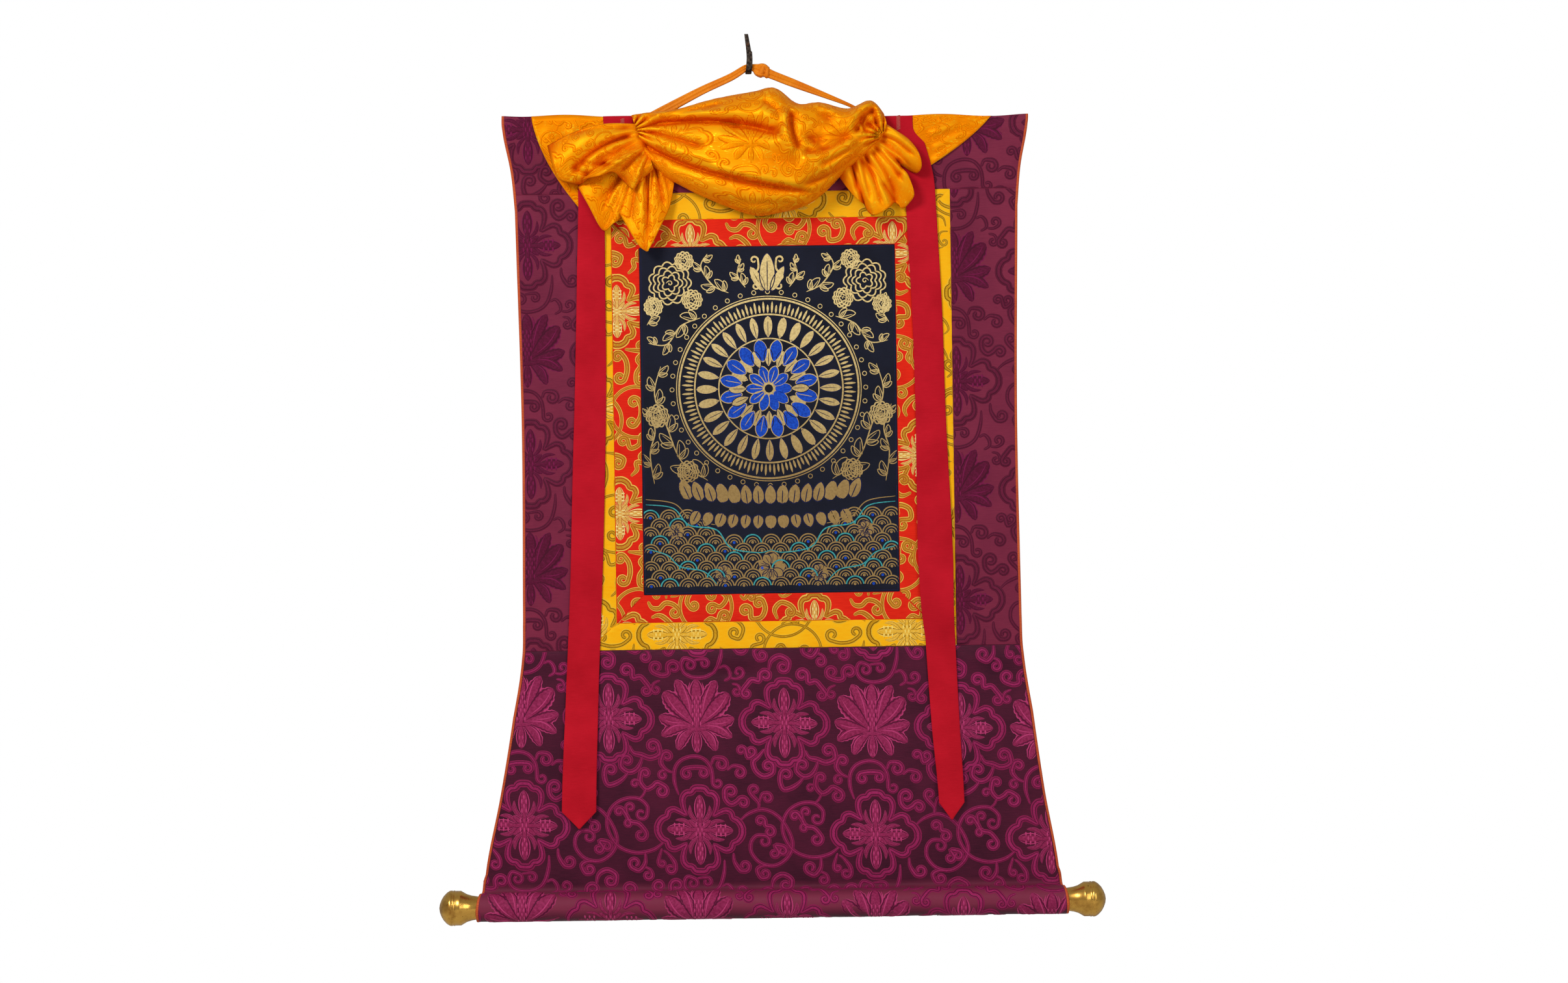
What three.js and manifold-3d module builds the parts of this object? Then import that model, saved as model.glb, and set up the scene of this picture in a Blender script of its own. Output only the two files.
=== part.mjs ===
// A thangka scroll painting hung from an iron hook. A painted canvas is framed by a red and a yellow
// brocade border and a damask mount, under a raised silk veil, with two ribbons, a folded silk tie and
// a turned rod. Millimetres. X is to the right and Z is up. The wall is the plane y = 0, and the front
// faces -Y. Every x and z below is measured from the middle of the painting, and the last group moves
// the origin to the hook.
import * as THREE from "three";
import { mergeVertices } from "three/addons/utils/BufferGeometryUtils.js";
import Module from "manifold-3d";

const wasm = await Module();
wasm.setup();

// Driving dimensions
const seam = 0.3;
const paintingHalf = { x: 196.7, z: 267 };
const redBorder = { wide: 42.6, tall: 42.6 };
const yellowBorder = { wide: 43.4, tall: 41.2 };
const topEdgeZ = 468;
const topEdgeSlope = -0.0125;
const clothThick = 2;
const hemThick = 5;
const hemTall = 28;
const bindingWide = 3.6;
const bindingThick = 3;
const hangY = -11;
const rodZ = -742;
const rodShift = -6;
const rodRadius = 19;
const pocketEase = 0.8;
const pocketHalf = 450;
const knobRadius = 27.1;
const knobFromWall = 0.6;
const creaseRadius = 8;
const hookAt = { x: -24.5, z: 580 };

// Small helpers
const lerp = (a, b, t) => a + (b - a) * t;
const clamp = (value, low, high) => Math.min(high, Math.max(low, value));
const smooth = (t) => t * t * (3 - 2 * t);
const bell = (distance, reach) => Math.exp(-((distance / reach) ** 2));

// A smooth curve through a table's evenly spaced rows, read in the named columns at t from 0 to 1.
function alongRows(rows, columns, t) {
  const place = clamp(t, 0, 1) * (rows.length - 1);
  const first = Math.min(Math.floor(place), rows.length - 2);
  const f = place - first;
  const row = (i) => rows[clamp(i, 0, rows.length - 1)];
  const found = {};
  for (const name of columns) {
    const [p0, p1, p2, p3] = [-1, 0, 1, 2].map((step) => row(first + step)[name]);
    const bend = 2 * p0 - 5 * p1 + 4 * p2 - p3;
    const twist = 3 * (p1 - p2) + p3 - p0;
    found[name] = p1 + 0.5 * f * (p2 - p0 + f * (bend + f * twist));
  }
  return found;
}

// The same curve, read at a value of the column `by`, which rises from row to row.
function atValue(rows, by, column, value) {
  const last = rows.length - 2;
  let i = 0;
  while (i < last && value > rows[i + 1][by]) i += 1;
  const f = clamp((value - rows[i][by]) / (rows[i + 1][by] - rows[i][by]), 0, 1);
  return alongRows(rows, [column], (i + f) / (rows.length - 1))[column];
}

// Half the mount's width at each height: flared at the heading, waisted beside the painting and wide
// at the rod. The rows rise.
const outline = [
  { z: -762, half: 450 },
  { z: -720, half: 443 },
  { z: -694, half: 437.5 },
  { z: -574, half: 415 },
  { z: -454, half: 396.5 },
  { z: -364, half: 382.5 },
  { z: -305, half: 380 },
  { z: 0, half: 377.5 },
  { z: 325, half: 383 },
  { z: 385, half: 388.5 },
  { z: 450, half: 400 },
  { z: 480, half: 400.7 },
];
const headerSeamZ = paintingHalf.z + redBorder.tall + yellowBorder.tall + seam / 2;
const bottomSeamZ = -headerSeamZ;
const lean = (z) => rodShift * smooth(clamp((bottomSeamZ - z) / (bottomSeamZ - rodZ), 0, 1));
const edgeX = (z, side) => side * atValue(outline, "z", "half", z) + lean(z);
const scallop = { rise: 1.6, spacing: 23, start: 0.8 };
const scalloped = (x) => scallop.rise * Math.cos(x / scallop.spacing + scallop.start);
const topEdge = (x) => topEdgeZ + topEdgeSlope * x + scalloped(x);

// The hung cloth's swellings and puckers, each with its middle and its reach.
const swellings = [
  { x: -402, z: 452, wide: 34, tall: 55, rise: 8 },
  { x: 404, z: 455, wide: 30, tall: 50, rise: 5 },
  { x: -382, z: 230, wide: 26, tall: 150, rise: 3 },
  { x: 384, z: 60, wide: 26, tall: 190, rise: 3 },
  { x: -60, z: 60, wide: 150, tall: 190, rise: 1.6 },
  { x: -120, z: -368, wide: 120, tall: 8, rise: 2.6 },
  { x: -70, z: -388, wide: 95, tall: 7, rise: -2.2 },
  { x: 330, z: -372, wide: 60, tall: 12, rise: 2.4 },
  { x: -20, z: -540, wide: 330, tall: 120, rise: 4 },
  { x: -395, z: -590, wide: 34, tall: 110, rise: 4 },
  { x: 392, z: -560, wide: 34, tall: 110, rise: 4 },
];
// The height from which the cloth hangs still on the rod, and how far above it the swellings begin.
const still = { below: -702, fade: 60 };
function hang(x, z) {
  const free = smooth(clamp((z - still.below) / still.fade, 0, 1));
  const rise = swellings.reduce(
    (sum, s) => sum + s.rise * bell(x - s.x, s.wide) * bell(z - s.z, s.tall),
    0,
  );
  return hangY - free * rise;
}
const frontOf = (x, z) => hang(x, z) - clothThick / 2;
// Loose cloth stands `out` in front of the mount, or of the mount's top where it rises above that.
const mountTopZ = 460;
const inFront = (x, out, z) => new THREE.Vector3(x, frontOf(x, Math.min(z, mountTopZ)) - out, z);

// Closed solids from grids of points

function geometryOf(positions, index) {
  const geometry = new THREE.BufferGeometry();
  geometry.setAttribute("position", new THREE.Float32BufferAttribute(positions, 3));
  geometry.setIndex(index);
  return geometry;
}

// A closed sheet. point(u, v) is its middle surface, u to the right and v down, and thick(u, v) its
// thickness, of which the share `back` lies behind the middle surface.
function sheet(point, across, down, thick, back = 0.5) {
  const thickness = typeof thick === "function" ? thick : () => thick;
  const columns = across + 1;
  const rows = down + 1;
  const front = [];
  const rear = [];
  const nudge = 1e-3;
  for (let j = 0; j < rows; j += 1)
    for (let i = 0; i < columns; i += 1) {
      const [u, v] = [i / across, j / down];
      const middle = point(u, v);
      const alongU = point(Math.min(1, u + nudge), v).sub(point(Math.max(0, u - nudge), v));
      const alongV = point(u, Math.min(1, v + nudge)).sub(point(u, Math.max(0, v - nudge)));
      const normal = alongV.cross(alongU).normalize();
      const t = thickness(u, v);
      front.push(middle.clone().addScaledVector(normal, t * (1 - back)));
      rear.push(middle.clone().addScaledVector(normal, -t * back));
    }
  const count = rows * columns;
  const index = [];
  for (let j = 0; j < down; j += 1)
    for (let i = 0; i < across; i += 1) {
      const a = j * columns + i;
      const [b, c, d] = [a + 1, a + columns + 1, a + columns];
      index.push(a, c, b, a, d, c);
      index.push(a + count, b + count, c + count, a + count, c + count, d + count);
    }
  const ring = [];
  for (let i = 0; i < across; i += 1) ring.push(i);
  for (let j = 0; j < down; j += 1) ring.push(j * columns + across);
  for (let i = across; i > 0; i -= 1) ring.push(down * columns + i);
  for (let j = down; j > 0; j -= 1) ring.push(j * columns);
  ring.forEach((a, k) => {
    const b = ring[(k + 1) % ring.length];
    index.push(a, b, b + count, a, b + count, a + count);
  });
  return geometryOf([...front, ...rear].flatMap((p) => p.toArray()), index);
}

// A closed body lofted through rings of points, all in the same turning order, with a flat cap at each
// end.
function loft(rings) {
  const around = rings[0].length;
  const points = rings.flat();
  const index = [];
  for (let i = 0; i < rings.length - 1; i += 1)
    for (let j = 0; j < around; j += 1) {
      const k = (j + 1) % around;
      const [a, b] = [i * around + j, i * around + k];
      const [c, d] = [b + around, a + around];
      index.push(a, b, c, a, c, d);
    }
  for (const [ring, turn] of [[0, 1], [rings.length - 1, -1]]) {
    const middle = new THREE.Vector3();
    rings[ring].forEach((p) => middle.addScaledVector(p, 1 / around));
    const centre = points.push(middle) - 1;
    for (let j = 0; j < around; j += 1) {
      const pair = [ring * around + j, ring * around + ((j + 1) % around)];
      index.push(centre, ...(turn > 0 ? pair.reverse() : pair));
    }
  }
  return geometryOf(points.flatMap((p) => p.toArray()), index);
}

function solidOf(geometry) {
  const bare = geometry.clone();
  bare.deleteAttribute("normal");
  bare.deleteAttribute("uv");
  const merged = mergeVertices(bare, 1e-4);
  const triVerts = new Uint32Array(merged.index.array);
  const vertProperties = merged.attributes.position.array;
  const solid = new wasm.Manifold(new wasm.Mesh({ numProp: 3, vertProperties, triVerts }));
  if (solid.volume() > 0) return solid;
  for (let i = 0; i < triVerts.length; i += 3)
    [triVerts[i + 1], triVerts[i + 2]] = [triVerts[i + 2], triVerts[i + 1]];
  return new wasm.Manifold(new wasm.Mesh({ numProp: 3, vertProperties, triVerts }));
}

function joined(geometries) {
  const solid = geometries.map(solidOf).reduce((sum, next) => sum.add(next));
  const found = solid.getMesh();
  return geometryOf(Array.from(found.vertProperties), Array.from(found.triVerts));
}

// Materials
const cloth = (color, roughness) => new THREE.MeshStandardMaterial({ color, roughness });
const finishes = {
  damask: cloth(0x6d1f48, 0.55),
  goldBrocade: cloth(0xe5a21c, 0.5),
  redBrocade: cloth(0xd3241a, 0.55),
  canvas: cloth(0x14162b, 0.75),
  ribbon: cloth(0xb81526, 0.7),
  piping: cloth(0xb8421f, 0.7),
  silk: cloth(0xf28c05, 0.4),
  wood: cloth(0x8a5a34, 0.7),
  brass: new THREE.MeshStandardMaterial({ color: 0xb08a3e, roughness: 0.35, metalness: 1 }),
  iron: new THREE.MeshStandardMaterial({ color: 0x3b3330, roughness: 0.7, metalness: 0.8 }),
};

const scroll = new THREE.Group();
function place(name, geometry, finish) {
  const mesh = new THREE.Mesh(geometry, finishes[finish]);
  mesh.name = name;
  scroll.add(mesh);
}

// Mount, borders and painting: pieces of one hung plane, seamed edge to edge

const onCloth = (x, z) => new THREE.Vector3(x, hang(x, z), z);

// A piece with straight sides between four corners, clockwise from the top left one.
function straightPiece(corners, across, down) {
  const [tl, tr, br, bl] = corners;
  const point = (u, v) => {
    const x = lerp(lerp(tl[0], tr[0], u), lerp(bl[0], br[0], u), v);
    const z = lerp(lerp(tl[1], tr[1], u), lerp(bl[1], br[1], u), v);
    return onCloth(x, z);
  };
  return sheet(point, across, down, clothThick);
}

const { x: px, z: pz } = paintingHalf;
const paintingCorners = [[-px, pz], [px, pz], [px, -pz], [-px, -pz]];
place("painting", straightPiece(paintingCorners, 8, 10), "canvas");

// A border's four strips, mitred at the corners, between the inner half sizes and the outer ones.
function border(name, inner, width, finish) {
  const ix = inner.x + seam;
  const iz = inner.z + seam;
  const [ox, oz] = [inner.x + width.wide, inner.z + width.tall];
  const cut = seam / 2;
  const flat = [[-ox + cut, oz], [ox - cut, oz], [ix - cut, iz], [-ix + cut, iz]];
  const upright = [[-ox, oz - cut], [-ix, iz - cut], [-ix, -iz + cut], [-ox, -oz + cut]];
  const below = flat.map(([x, z]) => [x, -z]).reverse();
  const [tl, tr, br, bl] = upright.map(([x, z]) => [-x, z]);
  place(`${name}_top`, straightPiece(flat, 10, 2), finish);
  place(`${name}_bottom`, straightPiece(below, 10, 2), finish);
  place(`${name}_left`, straightPiece(upright, 2, 12), finish);
  place(`${name}_right`, straightPiece([tr, tl, bl, br], 2, 12), finish);
  return { x: ox, z: oz };
}
const redOuter = border("red_border", paintingHalf, redBorder, "redBrocade");
const yellowOuter = border("yellow_border", redOuter, yellowBorder, "goldBrocade");

// The mount's cut edges, by height. The heading's rows lean with its top edge.
const headingRows = 6;
const sideRows = 12;
const acrossTop = (u) => lerp(edgeX(topEdgeZ, -1), edgeX(topEdgeZ, 1), u);
function headingPoint(u, v, low) {
  const nominal = lerp(topEdgeZ, low, v);
  const x = lerp(edgeX(nominal, -1), edgeX(nominal, 1), u);
  return onCloth(x, lerp(topEdge(acrossTop(u)), low, v));
}

// The heading, with a deep hem along its top edge that thickens it towards the wall.
function headingPiece() {
  const low = headerSeamZ + seam / 2;
  const across = 20;
  const hemFade = 8;
  const deeper = (v) => {
    const below = v * (topEdgeZ - low) - hemTall;
    return lerp(hemThick - clothThick, 0, smooth(clamp(below / hemFade, 0, 1)));
  };
  const geometry = sheet((u, v) => headingPoint(u, v, low), across, headingRows, clothThick);
  const position = geometry.getAttribute("position");
  const rear = position.count / 2;
  for (let i = 0; i < rear; i += 1) {
    const v = Math.floor(i / (across + 1)) / headingRows;
    position.setY(i + rear, position.getY(i + rear) + deeper(v));
  }
  return geometry;
}
place("heading", headingPiece(), "damask");

function sidePiece(side) {
  const inner = yellowOuter.x + seam;
  const point = (u, v) => {
    const z = lerp(headerSeamZ - seam / 2, bottomSeamZ + seam / 2, v);
    const ends = side < 0 ? [edgeX(z, -1), -inner] : [inner, edgeX(z, 1)];
    return onCloth(lerp(ends[0], ends[1], u), z);
  };
  return sheet(point, 4, sideRows, clothThick);
}
place("side_panel_left", sidePiece(-1), "damask");
place("side_panel_right", sidePiece(1), "damask");

// The bottom panel runs down, turns forward over the rod, goes round it and up behind to its own seam.
const pocketRadius = rodRadius + pocketEase + clothThick / 2;
const rodY = -(knobRadius + knobFromWall);
const creaseY = hangY - creaseRadius;
const creaseRise = Math.sqrt((pocketRadius + creaseRadius) ** 2 - (creaseY - rodY) ** 2);
const creaseZ = rodZ + creaseRise;
const topLean = Math.atan2(creaseY - rodY, creaseRise);
const flapY = hangY + clothThick + seam;
const flapAngle = Math.acos((flapY - rodY) / pocketRadius);
const flapAboveCrease = 12;
const flapTopZ = creaseZ + flapAboveCrease;
const roundTurn = 1.5 * Math.PI + topLean + flapAngle;

// The panel's path in the plane across the rod, as stretches with their lengths.
const stretches = [
  { name: "drop", length: bottomSeamZ - seam / 2 - creaseZ },
  { name: "crease", length: creaseRadius * (Math.PI / 2 + topLean) },
  { name: "round", length: pocketRadius * roundTurn },
  { name: "flap", length: flapTopZ - (rodZ + pocketRadius * Math.sin(flapAngle)) },
];
const pathLength = stretches.reduce((sum, s) => sum + s.length, 0);
function pathPoint(s) {
  const [drop, crease, round] = stretches.map((stretch) => stretch.length);
  if (s < drop) return { y: null, z: bottomSeamZ - seam / 2 - s };
  if (s < drop + crease) {
    const a = (s - drop) / creaseRadius;
    return { y: creaseY + creaseRadius * Math.cos(a), z: creaseZ - creaseRadius * Math.sin(a) };
  }
  if (s < drop + crease + round) {
    const a = Math.PI / 2 - topLean + (s - drop - crease) / pocketRadius;
    return { y: rodY + pocketRadius * Math.cos(a), z: rodZ + pocketRadius * Math.sin(a) };
  }
  return { y: flapY, z: rodZ + pocketRadius * Math.sin(flapAngle) + s - drop - crease - round };
}
// Rows are close together round the rod and far apart on the flat.
const rowStops = [
  { s: 0, rows: 0 },
  { s: stretches[0].length, rows: 9 },
  { s: stretches[0].length + stretches[1].length, rows: 2 },
  { s: pathLength - stretches[3].length, rows: 14 },
  { s: pathLength, rows: 1 },
];
const pathRows = rowStops.reduce((sum, stop) => sum + stop.rows, 0);
function rowPlace(v) {
  let left = v * pathRows;
  for (let i = 1; i < rowStops.length; i += 1) {
    if (left <= rowStops[i].rows + 1e-9)
      return lerp(rowStops[i - 1].s, rowStops[i].s, left / rowStops[i].rows);
    left -= rowStops[i].rows;
  }
  return pathLength;
}
// The height whose width the edge has. Past the crease the panel widens to the pocket over a short
// stretch.
const pocketFlare = 60;
function widthZ(s) {
  const past = s - stretches[0].length;
  if (past < 0) return bottomSeamZ - s;
  return lerp(creaseZ, outline[0].z, clamp(past / pocketFlare, 0, 1));
}
function onPath(s, x) {
  const { y, z } = pathPoint(s);
  return new THREE.Vector3(x, y === null ? hang(x, z) : y, z);
}
const bottomPoint = (u, v) => {
  const s = rowPlace(v);
  return onPath(s, lerp(edgeX(widthZ(s), -1), edgeX(widthZ(s), 1), u));
};
place("bottom_panel", sheet(bottomPoint, 10, pathRows, clothThick), "damask");

// Piping down each side, from the top corner round the end of the pocket, on the cut edge's rows.
function bindingPiece(side) {
  const rows = headingRows + sideRows + pathRows;
  const edgePoint = (row) => {
    if (row <= headingRows) return headingPoint(side < 0 ? 0 : 1, row / headingRows, headerSeamZ);
    if (row <= headingRows + sideRows) {
      const z = lerp(headerSeamZ, bottomSeamZ, (row - headingRows) / sideRows);
      return onCloth(edgeX(z, side), z);
    }
    const s = rowPlace((row - headingRows - sideRows) / pathRows);
    return onPath(s, edgeX(widthZ(s), side));
  };
  const point = (u, v) => {
    const out = side < 0 ? lerp(bindingWide, 0, u) : lerp(0, bindingWide, u);
    return edgePoint(v * rows).add(new THREE.Vector3(side * (seam + out), 0, 0));
  };
  const wrapped = (headingRows + sideRows - 0.5) / rows;
  return sheet(point, 1, rows, (u, v) => (v > wrapped ? clothThick : bindingThick));
}
place("piping_left", bindingPiece(-1), "piping");
place("piping_right", bindingPiece(1), "piping");

// Rod and turned knobs

const tenon = { radius: 11, length: 28 };
const stemInside = 18;
const knobProfile = [
  { along: 0, radius: 17 },
  { along: 19, radius: 17.4 },
  { along: 29, radius: 19 },
  { along: 36, radius: 21 },
  { along: 41, radius: 24 },
  { along: 45, radius: 26.2 },
  { along: 54, radius: 26.5 },
  { along: 55.5, radius: knobRadius },
  { along: 62, radius: 27 },
  { along: 63.5, radius: 26.2 },
  { along: 67, radius: 23.8 },
  { along: 72, radius: 18.5 },
  { along: 76.5, radius: 11 },
  { along: 79, radius: 0 },
];

// A turned body on the rod's line. The profile's distance runs along X from `from`, towards `side`.
function turned(profile, from, side, segments) {
  const lathe = new THREE.LatheGeometry(
    profile.map(({ along, radius }) => new THREE.Vector2(radius, along)),
    segments,
  );
  lathe.rotateZ(-Math.PI / 2);
  if (side < 0) lathe.rotateY(Math.PI);
  lathe.translate(from, rodY, rodZ);
  return joined([lathe]);
}
const rodHalf = pocketHalf - stemInside;
const rodProfile = [
  { along: -rodHalf - tenon.length, radius: 0 },
  { along: -rodHalf - tenon.length, radius: tenon.radius },
  { along: -rodHalf, radius: tenon.radius },
  { along: -rodHalf, radius: rodRadius },
  { along: rodHalf, radius: rodRadius },
  { along: rodHalf, radius: tenon.radius },
  { along: rodHalf + tenon.length, radius: tenon.radius },
  { along: rodHalf + tenon.length, radius: 0 },
];
place("rod", turned(rodProfile, rodShift, 1, 24), "wood");
const socket = [
  { along: tenon.length + seam, radius: 0 },
  { along: tenon.length + seam, radius: tenon.radius + seam },
  { along: 0, radius: tenon.radius + seam },
];
for (const [name, side] of [["knob_left", -1], ["knob_right", 1]]) {
  const from = rodShift + side * (rodHalf + seam);
  place(name, turned([...socket, ...knobProfile], from, side, 24), "brass");
}

// Iron hook: a flat bar down the wall, bent forward under the tie and up in front of it
const hookThick = 3;
const hookRows = [
  { x: -27, z: 595, wide: 6 },
  { x: -25.6, z: 585, wide: 6.6 },
  { x: -24, z: 573, wide: 7.4 },
  { x: -22.6, z: 560, wide: 8.4 },
  { x: -23, z: 548, wide: 9 },
];
const hookBend = { radius: 7.5, z: 541, wide: 9.4, sway: 1.5 };
const hookTip = { z: 566, wide: 4.4, drift: 2.6, lean: 0.8 };
const hookSteps = { down: 5, bend: 10, tip: 4 };
const hookTotal = hookSteps.down + hookSteps.bend + hookSteps.tip;
function hookPoint(u, v) {
  const step = v * hookTotal;
  const depth = hookThick / 2;
  const barEnd = 0.98;
  const onBar = (t) => alongRows(hookRows, ["x", "z", "wide"], t * barEnd);
  const across = (x, y, z, wide) => new THREE.Vector3(x + (u - 0.5) * wide, y, z);
  if (step <= hookSteps.down) {
    const { x, z, wide } = onBar(step / hookSteps.down);
    return across(x, -depth, z, wide);
  }
  const start = onBar(1);
  if (step <= hookSteps.down + hookSteps.bend) {
    const t = (step - hookSteps.down) / hookSteps.bend;
    const a = Math.PI * t;
    const level = lerp(start.z, hookBend.z, Math.min(1, t * 4));
    const z = level - hookBend.radius * Math.sin(a);
    const y = -depth - hookBend.radius * (1 - Math.cos(a));
    return across(start.x - hookBend.sway * Math.sin(a), y, z, hookBend.wide);
  }
  const t = (step - hookSteps.down - hookSteps.bend) / hookSteps.tip;
  const wide = lerp(hookBend.wide, hookTip.wide, t * t);
  const y = -depth - 2 * hookBend.radius - hookTip.lean * t;
  return across(start.x + hookTip.drift * t, y, lerp(hookBend.z, hookTip.z, t), wide);
}
place("wall_hook", sheet(hookPoint, 2, hookTotal, hookThick), "iron");

// Tie: a strip of silk folded lengthwise into a flat cord and knotted beside the hook, with its ends
// behind the heading
const tieRows = [
  { x: -212, y: -4.2, z: 450, wide: 15, thick: 3.6 },
  { x: -182, y: -4.2, z: 465, wide: 15, thick: 3.6 },
  { x: -150, y: -4.6, z: 481, wide: 15, thick: 4.4 },
  { x: -96, y: -6.4, z: 508.5, wide: 13.4, thick: 5.4 },
  { x: -52, y: -8.4, z: 528, wide: 11.6, thick: 6.4 },
  { x: -28, y: -9, z: 541.4, wide: 10.4, thick: 7 },
  { x: -17, y: -9.2, z: 541.8, wide: 12, thick: 9 },
  { x: -9, y: -9.4, z: 539, wide: 20, thick: 13 },
  { x: -1, y: -9.2, z: 536.4, wide: 21, thick: 13 },
  { x: 8, y: -8.8, z: 532.4, wide: 14.6, thick: 7.4 },
  { x: 40, y: -7.4, z: 519.6, wide: 13, thick: 5.6 },
  { x: 92, y: -5.4, z: 498.6, wide: 8.6, thick: 5 },
  { x: 134, y: -4.4, z: 481, wide: 5.6, thick: 4.4 },
  { x: 152, y: -4.2, z: 468, wide: 8, thick: 4 },
  { x: 164, y: -4.2, z: 448, wide: 12, thick: 4 },
];
// The folded strip's section, with two lengthwise grooves on the front and one behind. Each row is a
// share of half its size.
const tieSection = [
  { up: 1, front: 0 },
  { up: 0.8, front: 0.85 },
  { up: 0.36, front: 0.62 },
  { up: 0.1, front: 1 },
  { up: -0.3, front: 0.66 },
  { up: -0.78, front: 0.9 },
  { up: -1, front: 0 },
  { up: -0.72, front: -0.92 },
  { up: 0, front: -0.7 },
  { up: 0.72, front: -0.92 },
];
function tieRings(steps) {
  const columns = ["x", "y", "z", "wide", "thick"];
  const middle = (t) => {
    const row = alongRows(tieRows, columns, t);
    return { ...row, at: new THREE.Vector3(row.x, row.y, row.z) };
  };
  const forward = new THREE.Vector3(0, -1, 0);
  const nudge = 0.01;
  return Array.from({ length: steps + 1 }, (_, i) => {
    const t = i / steps;
    const here = middle(t);
    const ahead = middle(Math.min(1, t + nudge)).at;
    const behind = middle(Math.max(0, t - nudge)).at;
    const run = ahead.sub(behind).normalize();
    const up = run.clone().cross(forward).normalize().negate();
    const out = run.clone().cross(up).normalize();
    if (out.y > 0) out.negate();
    return tieSection.map((row) =>
      here.at
        .clone()
        .addScaledVector(up, (row.up * here.wide) / 2)
        .addScaledVector(out, (row.front * here.thick) / 2),
    );
  });
}
// The knot's outer turn, a flattened ring round the cord.
const knot = { radius: 8.4, cord: 3.4, turn: Math.PI / 2 - 0.28, flat: 0.7, tall: 1.16 };
const knotAt = new THREE.Vector3(-1.4, -9.6, 536.6);
const knotCollar = new THREE.TorusGeometry(knot.radius, knot.cord, 8, 16);
knotCollar.rotateY(knot.turn);
knotCollar.scale(1, knot.flat, knot.tall);
knotCollar.translate(knotAt.x, knotAt.y, knotAt.z);
place("tie", joined([loft(tieRings(44)), knotCollar]), "silk");

// Ribbons: doubled red cloth from the top edge, the left one straight and the right one drifting
// outwards. Each row gives the two edges at one height, and how far the cloth stands in front of the
// mount there.
const ribbonThick = 1.6;
const ribbons = {
  ribbon_left: [
    { z: 470, left: -248.6, right: -203, off: 2.7 },
    { z: 440, left: -252, right: -206, off: 2.8 },
    { z: 380, left: -285, right: -240, off: 3 },
    { z: 326, left: -289, right: -247.6, off: 3.2 },
    { z: 250, left: -292, right: -249, off: 2.4 },
    { z: 60, left: -298, right: -250, off: 1.6 },
    { z: -100, left: -304.5, right: -254.5, off: 2 },
    { z: -250, left: -310, right: -260.5, off: 1.8 },
    { z: -400, left: -318, right: -268, off: 3 },
    { z: -598, left: -327.6, right: -274.6, off: 6 },
  ],
  ribbon_right: [
    { z: 464, left: 180.5, right: 227, off: 2.7 },
    { z: 440, left: 181, right: 229, off: 2.9 },
    { z: 422, left: 190, right: 245, off: 3.4 },
    { z: 370, left: 212, right: 258, off: 3.2 },
    { z: 310, left: 215.6, right: 262, off: 2.6 },
    { z: 160, left: 222, right: 268.4, off: 1.8 },
    { z: 0, left: 225, right: 271.6, off: 2 },
    { z: -200, left: 225, right: 279, off: 3.4 },
    { z: -290, left: 229, right: 279.4, off: 5 },
    { z: -340, left: 235, right: 281, off: 2.4 },
    { z: -480, left: 243, right: 286, off: 3.2 },
    { z: -592, left: 252, right: 291, off: 6 },
  ],
};
// The point is cut at the low end, `tall` down from the last row to a blunt tip.
const ribbonPoint = { tall: 26, steps: 6, tipShare: 0.03 };
const ribbonSteps = 38;
const ribbonBow = 1.2;
const ribbonLift = 0.4;
function ribbonPiece(rows) {
  const rising = [...rows].reverse();
  const [top, low] = [rows[0].z, rows[rows.length - 1].z];
  const steps = ribbonSteps + ribbonPoint.steps;
  const point = (u, v) => {
    const down = v * steps;
    const z = down < ribbonSteps ? lerp(top, low, down / ribbonSteps) : low;
    const at = (column) => atValue(rising, "z", column, z);
    const [left, right, off] = ["left", "right", "off"].map(at);
    const t = clamp((down - ribbonSteps) / ribbonPoint.steps, 0, 1);
    const width = (right - left) * lerp(1, ribbonPoint.tipShare, t);
    const x = (left + right) / 2 + (u - 0.5) * width;
    const out = off + ribbonThick / 2 - ribbonLift + ribbonBow * Math.sin(Math.PI * u);
    return new THREE.Vector3(x, frontOf(x, z) - out, z - ribbonPoint.tall * t);
  };
  return sheet(point, 4, steps, ribbonThick);
}
for (const [name, rows] of Object.entries(ribbons)) place(name, ribbonPiece(rows), "ribbon");

// Veil: one silk cloth sewn along the top edge, drawn up and bunched, so that it makes a flat part, a
// swag between two gathers, a lobe with tails at the left and a fan of rolled pleats at the right.
const silkThick = 1.4;
const flatThick = 1;

// A fold is a curve on the cloth, where from, via and to are [x, z]. The cloth sinks by `deep` along it,
// over `wide` to each side, and the side that is left of its direction stands `step` above the other.
function curvePoint(fold, t) {
  const [a, b, c] = [fold.from, fold.via, fold.to];
  const mix = (k) => (1 - t) ** 2 * a[k] + 2 * t * (1 - t) * b[k] + t * t * c[k];
  return [mix(0), mix(1)];
}
function foldRise(fold, x, z) {
  let best = { distance: Infinity, t: 0, side: 1 };
  const steps = 12;
  const fade = 5;
  for (let i = 0; i < steps; i += 1) {
    const [ax, az] = curvePoint(fold, i / steps);
    const [bx, bz] = curvePoint(fold, (i + 1) / steps);
    const [dx, dz] = [bx - ax, bz - az];
    const share = clamp(((x - ax) * dx + (z - az) * dz) / (dx * dx + dz * dz), 0, 1);
    const [ox, oz] = [x - ax - share * dx, z - az - share * dz];
    const distance = Math.hypot(ox, oz);
    if (distance < best.distance)
      best = { distance, t: (i + share) / steps, side: Math.sign(dx * oz - dz * ox) || 1 };
  }
  const along = smooth(clamp(Math.min(best.t, 1 - best.t) * fade, 0, 1));
  const trough = -fold.deep * bell(best.distance, fold.wide);
  const reach = bell(best.distance, fold.wide * 3);
  const step = 0.5 * fold.step * best.side * Math.tanh((1.6 * best.distance) / fold.wide) * reach;
  return along * (trough + step);
}
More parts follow.
